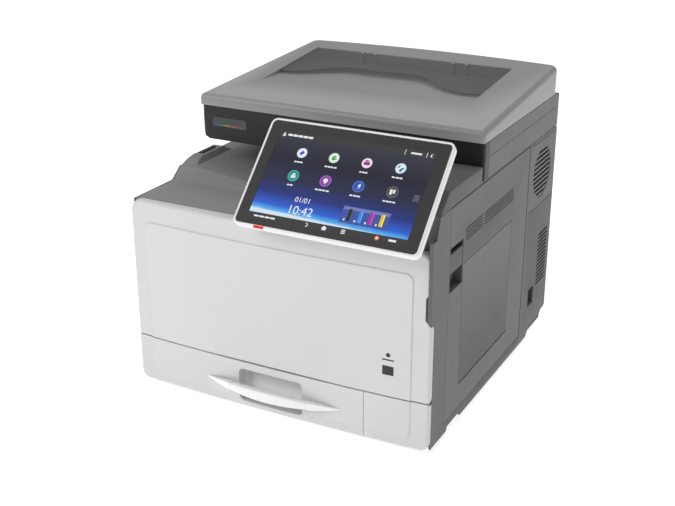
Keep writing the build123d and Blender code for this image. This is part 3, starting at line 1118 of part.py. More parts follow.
def lid_pad():
    """White backing plate under the lid."""
    plate = along_z(lid_plan(3.4), SCANNER_TOP + 0.4, SCANNER_TOP + 3)
    plate = plate - box(-HALF, HALF, 505, DEPTH + CUT, 400, HEIGHT)
    for x in (SCANNER_X + 56, HALF - 49):
        for y in (200, 262):
            plate = plate + box(x, x + 8, y, y + 6, SCANNER_TOP + 2, lid_top(y) - 3.4)
    return plate


def lid_hinges():
    """Two hinge posts with the pins that carry the lid."""
    hinges = []
    for x in (-HINGE_X, HINGE_X):
        post = box(x - 13, x + 13, LID_AXIS_Y - 3, LID_AXIS_Y + 3, SCANNER_TOP - 9, LID_AXIS_Z)
        knuckle = rod_x(x - 13, x + 13, LID_AXIS_Y, LID_AXIS_Z, 4.5)
        hinges.append(post + knuckle + rod_x(x - 19, x + 19, LID_AXIS_Y, LID_AXIS_Z, LID_PIN_R))
    return hinges


# ======================================================================= export
def write(node, shape):
    """One STEP file per node, shifted so that the origin lies under the middle."""
    solids = shape if isinstance(shape, list) else [shape]
    moved = [Pos(0, SHIFT_Y, 0) * solid for solid in solids]
    export_step(moved[0] if len(moved) == 1 else Compound(children=moved), f"parts/{node}.step")


def main():
    os.makedirs("parts", exist_ok=True)
    builders = {
        "base_frame": base_frame, "feet": feet, "left_cover": left_cover, "rear_cover": rear_cover,
        "cover_screws": cover_screws, "right_front_cover": right_front_cover,
        "right_rear_cover": right_rear_cover, "right_upper_cover": right_upper_cover,
        "upper_housing": upper_housing, "output_tray": output_tray, "inner_cover": inner_cover,
        "lower_right_cover": lower_right_cover, "fan_grille": fan_grille, "power_inlet": power_inlet,
        "panel_arm": panel_arm, "scanner_tub": scanner_tub, "scanner_top_frame": scanner_top_frame,
        "scanner_front_trim": scanner_front_trim, "platen_glass": platen_glass,
        "carriage_rod": carriage_rod, "laser_unit": laser_unit, "main_board": main_board,
        "power_supply": power_supply, "drive_unit": drive_unit, "transfer_belt": transfer_belt,
        "developer_units": developer_units, "toner_bottles": toner_bottles, "fuser_frame": fuser_frame,
        "lid_hinges": lid_hinges, "front_door": front_door, "drawer_front": drawer_front,
        "cassette_tray": cassette_tray, "handle_grip": handle_grip, "handle_ends": handle_ends,
        "lift_plate": lift_plate, "side_fence_front": lambda: side_fence(-1),
        "side_fence_rear": lambda: side_fence(1), "end_fence": end_fence, "right_door": right_door,
        "right_door_latch": right_door_latch, "bypass_tray": bypass_tray,
        "bypass_extension": bypass_extension, "fan_rotor": fan_rotor, "power_rocker": power_rocker,
        "paper_stop": paper_stop, "panel_frame": panel_frame, "panel_bezel": panel_bezel,
        "panel_screen": panel_screen, "scan_carriage": scan_carriage, "lid_shell": lid_shell,
        "lid_pad": lid_pad, "lid_flap": lid_flap, "drum_yellow": lambda: drum(0),
        "drum_magenta": lambda: drum(1), "drum_cyan": lambda: drum(2), "drum_black": lambda: drum(3),
        "fuser_roller": lambda: fuser_roll(FUSER_X),
        "pressure_roller": lambda: fuser_roll(FUSER_X + 2 * FUSER_R + NIP),
        "feed_roller": feed_roller, "exit_roller": exit_roller,
    }
    for node, build in builders.items():
        write(node, build())


main()
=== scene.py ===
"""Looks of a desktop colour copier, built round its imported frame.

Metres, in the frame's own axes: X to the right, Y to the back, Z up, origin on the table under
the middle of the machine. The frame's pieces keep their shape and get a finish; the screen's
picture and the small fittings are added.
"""
from math import atan2, cos, pi, radians, sin

import bmesh
import bpy
from bpy.props import FloatProperty, FloatVectorProperty, PointerProperty
from mathutils import Matrix, Vector


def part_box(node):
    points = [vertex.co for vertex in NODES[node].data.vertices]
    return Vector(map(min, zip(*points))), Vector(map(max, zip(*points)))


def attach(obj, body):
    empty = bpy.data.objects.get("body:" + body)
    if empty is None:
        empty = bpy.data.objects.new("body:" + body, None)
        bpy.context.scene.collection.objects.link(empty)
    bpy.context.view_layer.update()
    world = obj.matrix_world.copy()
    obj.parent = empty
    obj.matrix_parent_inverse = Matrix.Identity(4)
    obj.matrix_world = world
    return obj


bl_info = {
    "name": "Desktop Copier",
    "version": (1, 0, 0),
    "blender": (4, 5, 0),
    "location": "View3D > Sidebar > Copier",
    "description": "Finishes and fittings of a desktop colour copier on its packed frame",
    "category": "Object",
}

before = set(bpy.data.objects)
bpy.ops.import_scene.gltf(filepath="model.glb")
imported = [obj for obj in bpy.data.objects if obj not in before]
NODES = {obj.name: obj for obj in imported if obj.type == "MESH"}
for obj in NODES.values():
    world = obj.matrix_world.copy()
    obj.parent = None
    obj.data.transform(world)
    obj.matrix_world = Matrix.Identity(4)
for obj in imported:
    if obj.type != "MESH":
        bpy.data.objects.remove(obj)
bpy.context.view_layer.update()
MM = 0.001
BOW_RADIUS = 4432.0 * MM    # bow of the door's front
PLATE_X = 187.0 * MM        # middle of the plain plates on the door


# ======================================================================= settings
def tint(name, description, default):
    """Colour setting, in linear light."""
    return FloatVectorProperty(name=name, description=description, subtype="COLOR", size=3,
                               min=0.0, max=1.0, default=default)


def length(name, description, default):
    """Length setting, in metres."""
    return FloatProperty(name=name, description=description, subtype="DISTANCE", unit="LENGTH",
                         min=0.0, default=default)


class CopierColours(bpy.types.PropertyGroup):
    """Colours of the mouldings."""
    front: tint("Front", "Door, drawer and handle", (0.61, 0.61, 0.612))
    sides: tint("Sides", "Side and rear covers", (0.092, 0.092, 0.094))
    tray: tint("Tray", "Output tray and the deck behind the door", (0.232, 0.232, 0.235))
    lid: tint("Lid", "Lid and its recess", (0.268, 0.268, 0.27))
    trim: tint("Trim", "Glossy front of the scanner", (0.012, 0.012, 0.013))
    panel: tint("Panel", "Case of the operation panel", (0.83, 0.83, 0.83))
    sky_high: tint("Screen top", "Upper end of the screen's picture", (0.017, 0.018, 0.030))
    sky_low: tint("Screen horizon", "Glow over the horizon of the screen's picture", (0.03, 0.13, 0.70))


class CopierSizes(bpy.types.PropertyGroup):
    """Sizes of the fine detail."""
    edge: length("Edge radius", "Rounding of the moulded edges in the shading", 0.6 * MM)
    grain: length("Grain", "Size of one grain of the moulded surfaces", 0.55 * MM)
    relief: length("Raised marks", "How far the raised marks stand out", 0.5 * MM)
    picture: length("Picture step", "Distance between the layers of the screen's picture", 0.04 * MM)


class CopierStage(bpy.types.PropertyGroup):
    """Camera, floor and light."""
    eye: FloatVectorProperty(name="Camera", description="Where the camera stands", subtype="XYZ",
                             unit="LENGTH", size=3, default=(0.7864, -1.53879, 0.88568))
    turn: FloatProperty(name="Turn", description="Camera's turn from straight behind the front",
                        subtype="ANGLE", default=radians(27.64))
    tilt: FloatProperty(name="Tilt", description="Camera's angle below the horizon",
                        subtype="ANGLE", default=radians(22.08))
    lens: FloatProperty(name="Lens", description="Focal length in millimetres", default=61.1)
    floor: tint("Floor", "Pale floor", (0.93, 0.93, 0.935))


# ======================================================================= shader parts
def socket(tree, name, kind, way, default=None):
    """One socket of a node group."""
    made = tree.interface.new_socket(name, in_out=way, socket_type=kind)
    if default is not None:
        made.default_value = default
    return made


def join(tree, *pairs):
    """Links outputs to inputs, given as (from, to) pairs."""
    for start, end in pairs:
        tree.links.new(start, end)


def math_node(tree, operation, first, second=None, third=None):
    """Maths node whose inputs are numbers or sockets."""
    node = tree.nodes.new("ShaderNodeMath")
    node.operation = operation
    for place, value in enumerate((first, second, third)):
        if value is None:
            continue
        if hasattr(value, "links"):
            tree.links.new(value, node.inputs[place])
        else:
            node.inputs[place].default_value = value
    return node.outputs[0]


def mix_colour(tree, factor, first, second):
    """Mix of two colours, given as tuples or sockets."""
    node = tree.nodes.new("ShaderNodeMix")
    node.data_type = "RGBA"
    for place, value in ((0, factor), (6, first), (7, second)):
        if hasattr(value, "links"):
            tree.links.new(value, node.inputs[place])
        elif place:
            node.inputs[place].default_value = (*value, 1.0)
        else:
            node.inputs[place].default_value = value
    return node.outputs[2]


def noise(tree, vector, scale, detail=2.0, roughness=0.5):
    """Noise texture's value."""
    node = tree.nodes.new("ShaderNodeTexNoise")
    node.inputs["Scale"].default_value = scale
    node.inputs["Detail"].default_value = detail
    node.inputs["Roughness"].default_value = roughness
    if vector is not None:
        tree.links.new(vector, node.inputs["Vector"])
    return node


def grain_group():
    """Fine leather-like grain of a moulded cover: a height and a mask."""
    tree = bpy.data.node_groups.new("Moulded grain", "ShaderNodeTree")
    socket(tree, "Vector", "NodeSocketVector", "INPUT")
    socket(tree, "Scale", "NodeSocketFloat", "INPUT", 1800.0)
    socket(tree, "Height", "NodeSocketFloat", "OUTPUT")
    socket(tree, "Mask", "NodeSocketFloat", "OUTPUT")
    start = tree.nodes.new("NodeGroupInput")
    end = tree.nodes.new("NodeGroupOutput")
    cells = tree.nodes.new("ShaderNodeTexVoronoi")
    cells.feature = "SMOOTH_F1"
    fine = noise(tree, start.outputs["Vector"], 1.0, 3.0)
    join(tree, (start.outputs["Vector"], cells.inputs["Vector"]),
         (start.outputs["Scale"], cells.inputs["Scale"]),
         (start.outputs["Scale"], fine.inputs["Scale"]))
    both = math_node(tree, "MULTIPLY_ADD", cells.outputs["Distance"], 0.7, fine.outputs[0])
    join(tree, (both, end.inputs["Height"]), (fine.outputs[0], end.inputs["Mask"]))
    return tree


def unevenness_and_edge_highlight_group():
    """Painted highlight along the convex edges and the faint unevenness of a handled surface, as masks."""
    tree = bpy.data.node_groups.new("Unevenness and painted edge highlight", "ShaderNodeTree")
    socket(tree, "Vector", "NodeSocketVector", "INPUT")
    socket(tree, "Edge", "NodeSocketFloat", "OUTPUT")
    socket(tree, "Cloud", "NodeSocketFloat", "OUTPUT")
    socket(tree, "Smudge", "NodeSocketFloat", "OUTPUT")
    start = tree.nodes.new("NodeGroupInput")
    end = tree.nodes.new("NodeGroupOutput")
    shape = tree.nodes.new("ShaderNodeNewGeometry")
    # Painted highlight: this mask picks out the convex edges by their pointiness, so that they can be painted
    # lighter.
    edge = tree.nodes.new("ShaderNodeMapRange")
    edge.inputs["From Min"].default_value = 0.52
    edge.inputs["From Max"].default_value = 0.62
    cloud = noise(tree, start.outputs["Vector"], 7.0, 3.0)
    smudge = noise(tree, start.outputs["Vector"], 38.0, 6.0, 0.65)
    spots = tree.nodes.new("ShaderNodeMapRange")
    spots.inputs["From Min"].default_value = 0.45
    spots.inputs["From Max"].default_value = 0.72
    join(tree, (shape.outputs["Pointiness"], edge.inputs["Value"]),
         (edge.outputs[0], end.inputs["Edge"]), (cloud.outputs[0], end.inputs["Cloud"]),
         (smudge.outputs[0], spots.inputs["Value"]), (spots.outputs[0], end.inputs["Smudge"]))
    return tree


GROUPS = {}


def group_node(tree, name):
    """Places one of the shared groups in a material."""
    makers = {"Moulded grain": grain_group, "Unevenness and painted edge highlight": unevenness_and_edge_highlight_group}
    if name not in GROUPS:
        GROUPS[name] = makers[name]()
    node = tree.nodes.new("ShaderNodeGroup")
    node.node_tree = GROUPS[name]
    return node


def start_material(name):
    """New material: its tree, its shader and the object's coordinates."""
    material = bpy.data.materials.new(name)
    material.use_nodes = True
    tree = material.node_tree
    shader = tree.nodes["Principled BSDF"]
    place = tree.nodes.new("ShaderNodeTexCoord").outputs["Object"]
    return material, tree, shader, place


def soften(tree, shader, height=None, strength=0.3, distance=0.0001, radius=None):
    """Rounds the edges in the shading and adds a relief to them."""
    rounded = tree.nodes.new("ShaderNodeBevel")
    rounded.samples = 4
    rounded.inputs["Radius"].default_value = sizes().edge if radius is None else radius
    if height is None:
        tree.links.new(rounded.outputs[0], shader.inputs["Normal"])
        return
    bump = tree.nodes.new("ShaderNodeBump")
    bump.inputs["Strength"].default_value = strength
    bump.inputs["Distance"].default_value = distance
    join(tree, (rounded.outputs[0], bump.inputs["Normal"]), (height, bump.inputs["Height"]),
         (bump.outputs[0], shader.inputs["Normal"]))


def moulded(name, colour, rough=0.5, grain=1.0, relief=0.35, drift=0.03, edge_highlight=0.12, coat=0.0):
    """Moulded plastic with fine grain, a slight unevenness and convex edges painted lighter as a highlight.
    """
    material, tree, shader, place = start_material(name)
    grained = group_node(tree, "Moulded grain")
    grained.inputs["Scale"].default_value = grain / sizes().grain
    uneven_and_highlight = group_node(tree, "Unevenness and painted edge highlight")
    join(tree, (place, grained.inputs["Vector"]), (place, uneven_and_highlight.inputs["Vector"]))
    dark = tuple(c * (1 - drift) for c in colour)
    light = tuple(min(1.0, c * (1 + drift)) for c in colour)
    # Painted highlight: a lighter copy of the colour for the convex edges.
    edge_highlight_colour = tuple(min(1.0, c * (1 + edge_highlight) + edge_highlight * 0.02) for c in colour)
    base = mix_colour(tree, uneven_and_highlight.outputs["Cloud"], dark, light)
    # The edge mask lays the painted highlight on the convex edges.
    base = mix_colour(tree, uneven_and_highlight.outputs["Edge"], base, edge_highlight_colour)
    uneven = math_node(tree, "MULTIPLY_ADD", uneven_and_highlight.outputs["Smudge"], 0.06, rough - 0.03)
    uneven = math_node(tree, "MULTIPLY_ADD", grained.outputs["Mask"], 0.05, uneven)
    join(tree, (base, shader.inputs["Base Color"]), (uneven, shader.inputs["Roughness"]))
    shader.inputs["Specular IOR Level"].default_value = 0.28
    shader.inputs["Coat Weight"].default_value = coat
    shader.inputs["Coat Roughness"].default_value = 0.15
    soften(tree, shader, grained.outputs["Height"], relief, 0.00008)
    return material


def gloss(name, colour, rough=0.12, streak=0.05, coat=0.6):
    """Polished plastic or coated metal with faint wiping marks."""
    material, tree, shader, place = start_material(name)
    uneven_and_highlight = group_node(tree, "Unevenness and painted edge highlight")
    tree.links.new(place, uneven_and_highlight.inputs["Vector"])
    light = tuple(min(1.0, c * 1.25 + 0.002) for c in colour)
    base = mix_colour(tree, uneven_and_highlight.outputs["Cloud"], colour, light)
    uneven = math_node(tree, "MULTIPLY_ADD", uneven_and_highlight.outputs["Smudge"], streak, rough)
    join(tree, (base, shader.inputs["Base Color"]), (uneven, shader.inputs["Roughness"]))
    shader.inputs["Specular IOR Level"].default_value = 0.3
    shader.inputs["Coat Weight"].default_value = coat
    shader.inputs["Coat Roughness"].default_value = 0.05
    soften(tree, shader)
    return material


def brushed(name, colour, rough=0.34, along=(1.0, 60.0, 60.0)):
    """Sheet or ground metal with fine lines along one axis."""
    material, tree, shader, place = start_material(name)
    stretch = tree.nodes.new("ShaderNodeMapping")
    stretch.inputs["Scale"].default_value = along
    tree.links.new(place, stretch.inputs["Vector"])
    lines = noise(tree, stretch.outputs[0], 40.0, 4.0, 0.6)
    uneven_and_highlight = group_node(tree, "Unevenness and painted edge highlight")
    tree.links.new(place, uneven_and_highlight.inputs["Vector"])
    dark = tuple(c * 0.8 for c in colour)
    base = mix_colour(tree, lines.outputs[0], dark, colour)
    base = mix_colour(tree, uneven_and_highlight.outputs["Cloud"], base, dark)
    uneven = math_node(tree, "MULTIPLY_ADD", lines.outputs[0], 0.2, rough - 0.1)
    join(tree, (base, shader.inputs["Base Color"]), (uneven, shader.inputs["Roughness"]))
    shader.inputs["Metallic"].default_value = 1.0
    soften(tree, shader, lines.outputs[0], 0.12, 0.00005, 0.0003)
    return material


def lit(name, colour, strength=1.0):
    """Glowing part of the screen's picture or a lamp."""
    material, tree, shader, place = start_material(name)
    fine = noise(tree, place, 900.0, 1.0)
    dark = tuple(c * 0.86 for c in colour)
    shade = mix_colour(tree, fine.outputs[0], dark, colour)
    join(tree, (shade, shader.inputs["Emission Color"]))
    shader.inputs["Emission Strength"].default_value = strength
    shader.inputs["Base Color"].default_value = (*[c * 0.2 for c in colour], 1.0)
    shader.inputs["Roughness"].default_value = 0.15
    return material


def smoked_plastic():
    """Transparent grey plastic of the flap in the lid."""
    material, tree, shader, place = start_material("Smoked plastic")
    uneven_and_highlight = group_node(tree, "Unevenness and painted edge highlight")
    tree.links.new(place, uneven_and_highlight.inputs["Vector"])
    base = mix_colour(tree, uneven_and_highlight.outputs["Cloud"], (0.075, 0.076, 0.078), (0.10, 0.10, 0.103))
    uneven = math_node(tree, "MULTIPLY_ADD", uneven_and_highlight.outputs["Smudge"], 0.06, 0.12)
    join(tree, (base, shader.inputs["Base Color"]), (uneven, shader.inputs["Roughness"]))
    shader.inputs["Alpha"].default_value = 0.42
    shader.inputs["Coat Weight"].default_value = 0.4
    shader.inputs["Coat Roughness"].default_value = 0.08
    soften(tree, shader, radius=0.0004)
    return material


def clear_glass():
    """Platen glass with a slight green cast."""
    material, tree, shader, place = start_material("Clear glass")
    uneven_and_highlight = group_node(tree, "Unevenness and painted edge highlight")
    tree.links.new(place, uneven_and_highlight.inputs["Vector"])
    base = mix_colour(tree, uneven_and_highlight.outputs["Cloud"], (0.88, 0.95, 0.92), (0.94, 0.98, 0.96))
    uneven = math_node(tree, "MULTIPLY_ADD", uneven_and_highlight.outputs["Smudge"], 0.03, 0.02)
    join(tree, (base, shader.inputs["Base Color"]), (uneven, shader.inputs["Roughness"]))
    shader.inputs["Transmission Weight"].default_value = 0.85
    shader.inputs["IOR"].default_value = 1.5
    return material


def circuit_board():
    """Green board with lighter tracks."""
    material, tree, shader, place = start_material("Circuit board")
    tracks = tree.nodes.new("ShaderNodeTexBrick")
    tracks.inputs["Scale"].default_value = 90.0
    tracks.inputs["Mortar Size"].default_value = 0.03
    tracks.inputs["Color1"].default_value = (0.012, 0.12, 0.05, 1)
    tracks.inputs["Color2"].default_value = (0.016, 0.15, 0.06, 1)
    tracks.inputs["Mortar"].default_value = (0.05, 0.28, 0.12, 1)
    fine = noise(tree, place, 160.0, 3.0)
    uneven = math_node(tree, "MULTIPLY_ADD", fine.outputs[0], 0.2, 0.3)
    flat = tree.nodes.new("ShaderNodeMapping")
    flat.inputs["Rotation"].default_value = (radians(90), 0, 0)
    join(tree, (place, flat.inputs["Vector"]), (flat.outputs[0], tracks.inputs["Vector"]),
         (tracks.outputs["Color"], shader.inputs["Base Color"]), (uneven, shader.inputs["Roughness"]))
    soften(tree, shader, radius=0.0003)
    return material


def screen_picture():
    """Night sky over a bright horizon."""
    material, tree, shader, place = start_material("Screen picture")
    colours = bpy.context.scene.copier_colours
    right, up, _, corner = panel_axes()
    across = tree.nodes.new("ShaderNodeVectorMath")
    across.operation = "DOT_PRODUCT"
    upward = tree.nodes.new("ShaderNodeVectorMath")
    upward.operation = "DOT_PRODUCT"
    across.inputs[1].default_value = right
    upward.inputs[1].default_value = up
    join(tree, (place, across.inputs[0]), (place, upward.inputs[0]))
    wide, tall = screen_size()
    from_left = math_node(tree, "SUBTRACT", across.outputs["Value"], corner.dot(right))
    from_foot = math_node(tree, "SUBTRACT", upward.outputs["Value"], corner.dot(up))
    u = math_node(tree, "DIVIDE", from_left, wide)
    v = math_node(tree, "DIVIDE", from_foot, tall)
    curve = math_node(tree, "MULTIPLY", math_node(tree, "POWER", u, 2.0), 0.02)
    level = math_node(tree, "ADD", math_node(tree, "MULTIPLY_ADD", u, 0.045, v), curve)
    ramp = tree.nodes.new("ShaderNodeValToRGB")
    points = ((0.085, (0.75, 0.85, 0.95)), (0.115, (0.80, 0.92, 1.0)), (0.135, (0.10, 0.50, 1.0)),
              (0.19, tuple(colours.sky_low)), (0.32, (0.018, 0.038, 0.23)), (0.48, (0.024, 0.028, 0.075)),
              (0.72, tuple(colours.sky_high)), (1.0, (0.045, 0.045, 0.062)))
    stops = ramp.color_ramp.elements
    while len(stops) < len(points):
        stops.new(0.5)
    for stop, (where, colour) in zip(stops, points):
        stop.position = where
        stop.color = (*colour, 1.0)
    cloud = noise(tree, place, 60.0, 4.0)
    level = math_node(tree, "MULTIPLY_ADD", math_node(tree, "SUBTRACT", cloud.outputs[0], 0.5), 0.02, level)
    tree.links.new(level, ramp.inputs[0])
    shader.inputs["Emission Strength"].default_value = 0.85
    tree.links.new(ramp.outputs[0], shader.inputs["Emission Color"])
    shader.inputs["Base Color"].default_value = (0.01, 0.01, 0.015, 1)
    shader.inputs["Roughness"].default_value = 0.2
    shader.inputs["Specular IOR Level"].default_value = 0.3
    return material


# ======================================================================= places on the panel
PANEL_LEAN = radians(44.8)
SCREEN_THICK = 4.2 * MM


def panel_axes():
    """Right, up and outward directions of the operation panel, and the screen's lower left corner."""
    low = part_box("panel_screen")[0]
    right = Vector((1, 0, 0))
    up = Vector((0, sin(PANEL_LEAN), cos(PANEL_LEAN)))
    out = Vector((0, -cos(PANEL_LEAN), sin(PANEL_LEAN)))
    corner = Vector((low.x, low.y, low.z + SCREEN_THICK * sin(PANEL_LEAN)))
    return right, up, out, corner


def screen_size():
    """Width and height of the screen."""
    low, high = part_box("panel_screen")
    rise = high.z - low.z - SCREEN_THICK * sin(PANEL_LEAN)
    return high.x - low.x, rise / cos(PANEL_LEAN)


def panel_matrix(u, v, lift):
    """Frame on the screen, u and v in metres from its lower left corner, lifted off it."""
    right, up, out, corner = panel_axes()
    spot = corner + right * u + up * v + out * lift
    turn = Matrix((right, up, out)).transposed().to_4x4()
    return Matrix.Translation(spot) @ turn


# ======================================================================= mesh helpers
def piece(name, mesh, material, body):
    """Puts a mesh in the scene as a piece that rides on a body."""
    made = bpy.data.objects.new(name, mesh)
    bpy.context.scene.collection.objects.link(made)
    mesh.materials.append(material)
    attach(made, body)
    return made


def finish_mesh(name, bm):
    """Mesh data from a bmesh, with outward faces."""
    bmesh.ops.recalc_face_normals(bm, faces=bm.faces)
    mesh = bpy.data.meshes.new(name)
    bm.to_mesh(mesh)
    bm.free()
    return mesh


def add_prism(bm, points, low, high, matrix=None):
    """Closed prism over a flat outline, between two heights."""
    matrix = matrix or Matrix.Identity(4)
    bottom = [bm.verts.new(matrix @ Vector((x, y, low))) for x, y in points]
    top = [bm.verts.new(matrix @ Vector((x, y, high))) for x, y in points]
    bm.faces.new(list(reversed(bottom)))
    bm.faces.new(top)
    for i in range(len(points)):
        j = (i + 1) % len(points)
        bm.faces.new((bottom[i], bottom[j], top[j], top[i]))


def circle(x, y, radius, steps=32, start=0.0, sweep=2 * pi):
    """Points round a circle or an arc."""
    closed = sweep >= 2 * pi
    count = steps if closed else steps + 1
    return [(x + radius * cos(start + sweep * i / steps), y + radius * sin(start + sweep * i / steps))
            for i in range(count)]


def rounded(x0, x1, y0, y1, radius, steps=5):
    """Rectangle with rounded corners."""
    points = []
    for cx, cy, start in ((x1 - radius, y1 - radius, 0.0), (x0 + radius, y1 - radius, 0.5 * pi),
                          (x0 + radius, y0 + radius, pi), (x1 - radius, y0 + radius, 1.5 * pi)):
        points += circle(cx, cy, radius, steps, start, 0.5 * pi)
    return points


def add_ring(bm, x, y, inner, outer, low, high, matrix=None, steps=32):
    """Flat ring of square section."""
    matrix = matrix or Matrix.Identity(4)
    loops = []
    for radius, height in ((outer, low), (outer, high), (inner, high), (inner, low)):
        loops.append([bm.verts.new(matrix @ Vector((px, py, height)))
                      for px, py in circle(x, y, radius, steps)])
    for a in range(4):
        one, two = loops[a], loops[(a + 1) % 4]
        for i in range(steps):
            j = (i + 1) % steps
            bm.faces.new((one[i], one[j], two[j], two[i]))


def flat_piece(name, outlines, material, body, matrix, thick):
    """One piece of thin plates, all in the same plane."""
    bm = bmesh.new()
    for points in outlines:
        add_prism(bm, points, 0.0, thick, matrix)
    return piece(name, finish_mesh(name, bm), material, body)


# ======================================================================= finishes of the frame's pieces
def sizes():
    return bpy.context.scene.copier_sizes


def dress(material, *names):
    """Gives the frame's pieces a finish."""
    for name in names:
        shape = NODES[name]
        if shape.material_slots:
            shape.material_slots[0].material = material
        else:
            shape.data.materials.append(material)


class COPIER_OT_covers(bpy.types.Operator):
    """Side, rear and scanner covers in grained grey, with steel screws and rubber feet"""
    bl_idname = "copier.covers"
    bl_label = "Grey covers"

    def execute(self, context):
        colours = context.scene.copier_colours
        sides = moulded("Grey cover", tuple(colours.sides), 0.52, relief=0.3, edge_highlight=0.5)
        dress(sides, "left_cover", "rear_cover", "right_front_cover", "right_rear_cover",
              "right_upper_cover", "right_door", "right_door_latch", "bypass_tray", "bypass_extension",
              "fan_grille", "scanner_tub", "scanner_top_frame")
        dress(brushed("Screw steel", (0.62, 0.62, 0.64), 0.3), "cover_screws")
        dress(moulded("Rubber foot", (0.02, 0.02, 0.02), 0.8, 0.5, 0.5), "feet")
        return {"FINISHED"}


class COPIER_OT_front(bpy.types.Operator):
    """Door, drawer front and handle in light satin plastic"""
    bl_idname = "copier.front"
    bl_label = "Light front"

    def execute(self, context):
        colours = context.scene.copier_colours
        light = moulded("Light cover", tuple(colours.front), 0.42, relief=0.15, drift=0.012, edge_highlight=0.05)
        dress(light, "front_door", "drawer_front", "lower_right_cover")
        bright = tuple(min(0.92, c * 1.38) for c in colours.front)
        dress(moulded("Handle", bright, 0.3, relief=0.08, drift=0.01, edge_highlight=0.03, coat=0.2),
              "handle_grip", "handle_ends")
        return {"FINISHED"}


class COPIER_OT_tray(bpy.types.Operator):
    """Output tray, the housing round it and its flip-up stop"""
    bl_idname = "copier.tray"
    bl_label = "Output tray"

    def execute(self, context):
        colours = context.scene.copier_colours
        dress(moulded("Tray grey", tuple(colours.tray), 0.4, relief=0.18, edge_highlight=0.3), "output_tray",
              "upper_housing")
        dress(moulded("Black fitting", (0.014, 0.014, 0.015), 0.35, relief=0.15, edge_highlight=0.6), "paper_stop")
        return {"FINISHED"}


class COPIER_OT_scanner(bpy.types.Operator):
    """Glossy scanner front, platen glass and the carriage under it"""
    bl_idname = "copier.scanner"
    bl_label = "Scanner"

    def execute(self, context):
        colours = context.scene.copier_colours
        dress(gloss("Black trim", tuple(colours.trim), 0.4, 0.05, 0.0), "scanner_front_trim")
        dress(clear_glass(), "platen_glass")
        dress(moulded("Carriage black", (0.018, 0.018, 0.02), 0.4), "scan_carriage", "lid_hinges",
              "panel_arm", "power_rocker", "power_inlet")
        dress(brushed("Ground steel", (0.68, 0.68, 0.70), 0.16), "carriage_rod")
        self.badge()
        return {"FINISHED"}

    def badge(self):
        """Plain glossy plate at the left end of the scanner's front, with a row of colour ticks."""
        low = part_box("scanner_front_trim")[0]
        wide, tall = 63 * MM, 15 * MM
        left, base = low.x + 19 * MM, low.z + 22 * MM
        turn = Matrix.Translation((left, low.y, base)) @ Matrix.Rotation(radians(90), 4, "X")
        plate = gloss("Badge plate", (0.004, 0.004, 0.005), 0.08)
        flat_piece("badge_plate", [rounded(0, wide, 0, tall, 1.2 * MM)], plate, "machine", turn,
                   sizes().relief)
        ticks = ((0.02, 0.06, 0.5), (0.02, 0.30, 0.08), (0.55, 0.42, 0.02), (0.6, 0.15, 0.02),
                 (0.5, 0.02, 0.03), (0.35, 0.02, 0.12))
        step = (wide - 8 * MM) / len(ticks)
        lift = turn @ Matrix.Translation((0, 0, sizes().relief))
        for i, colour in enumerate(ticks):
            x = 4 * MM + i * step
            flat_piece(f"badge_tick_{i}", [rounded(x, x + step * 0.96, 2.4 * MM, 3.4 * MM, 0.4 * MM)],
                       gloss(f"Badge tick {i}", colour), "machine", lift, 0.05 * MM)


class COPIER_OT_lid(bpy.types.Operator):
    """Lid, its white pad and the smoked flap over the recess"""
    bl_idname = "copier.lid"
    bl_label = "Lid"

    def execute(self, context):
        colours = context.scene.copier_colours
        dress(moulded("Lid grey", tuple(colours.lid), 0.36, relief=0.2, edge_highlight=0.35), "lid_shell")
        dress(moulded("Pad white", (0.86, 0.86, 0.85), 0.6, relief=0.3, drift=0.01), "lid_pad")
        dress(smoked_plastic(), "lid_flap")
        return {"FINISHED"}


class COPIER_OT_panel(bpy.types.Operator):
    """Case, glass front and screen of the operation panel"""
    bl_idname = "copier.panel"
    bl_label = "Operation panel"

    def execute(self, context):
        colours = context.scene.copier_colours
        dress(moulded("Panel case", tuple(colours.panel), 0.3, relief=0.06, drift=0.01, edge_highlight=0.02, coat=0.3),
              "panel_frame")
        dress(gloss("Glass front", (0.036, 0.036, 0.037), 0.22, 0.04, 0.3), "panel_bezel")
        dress(screen_picture(), "panel_screen")
        return {"FINISHED"}


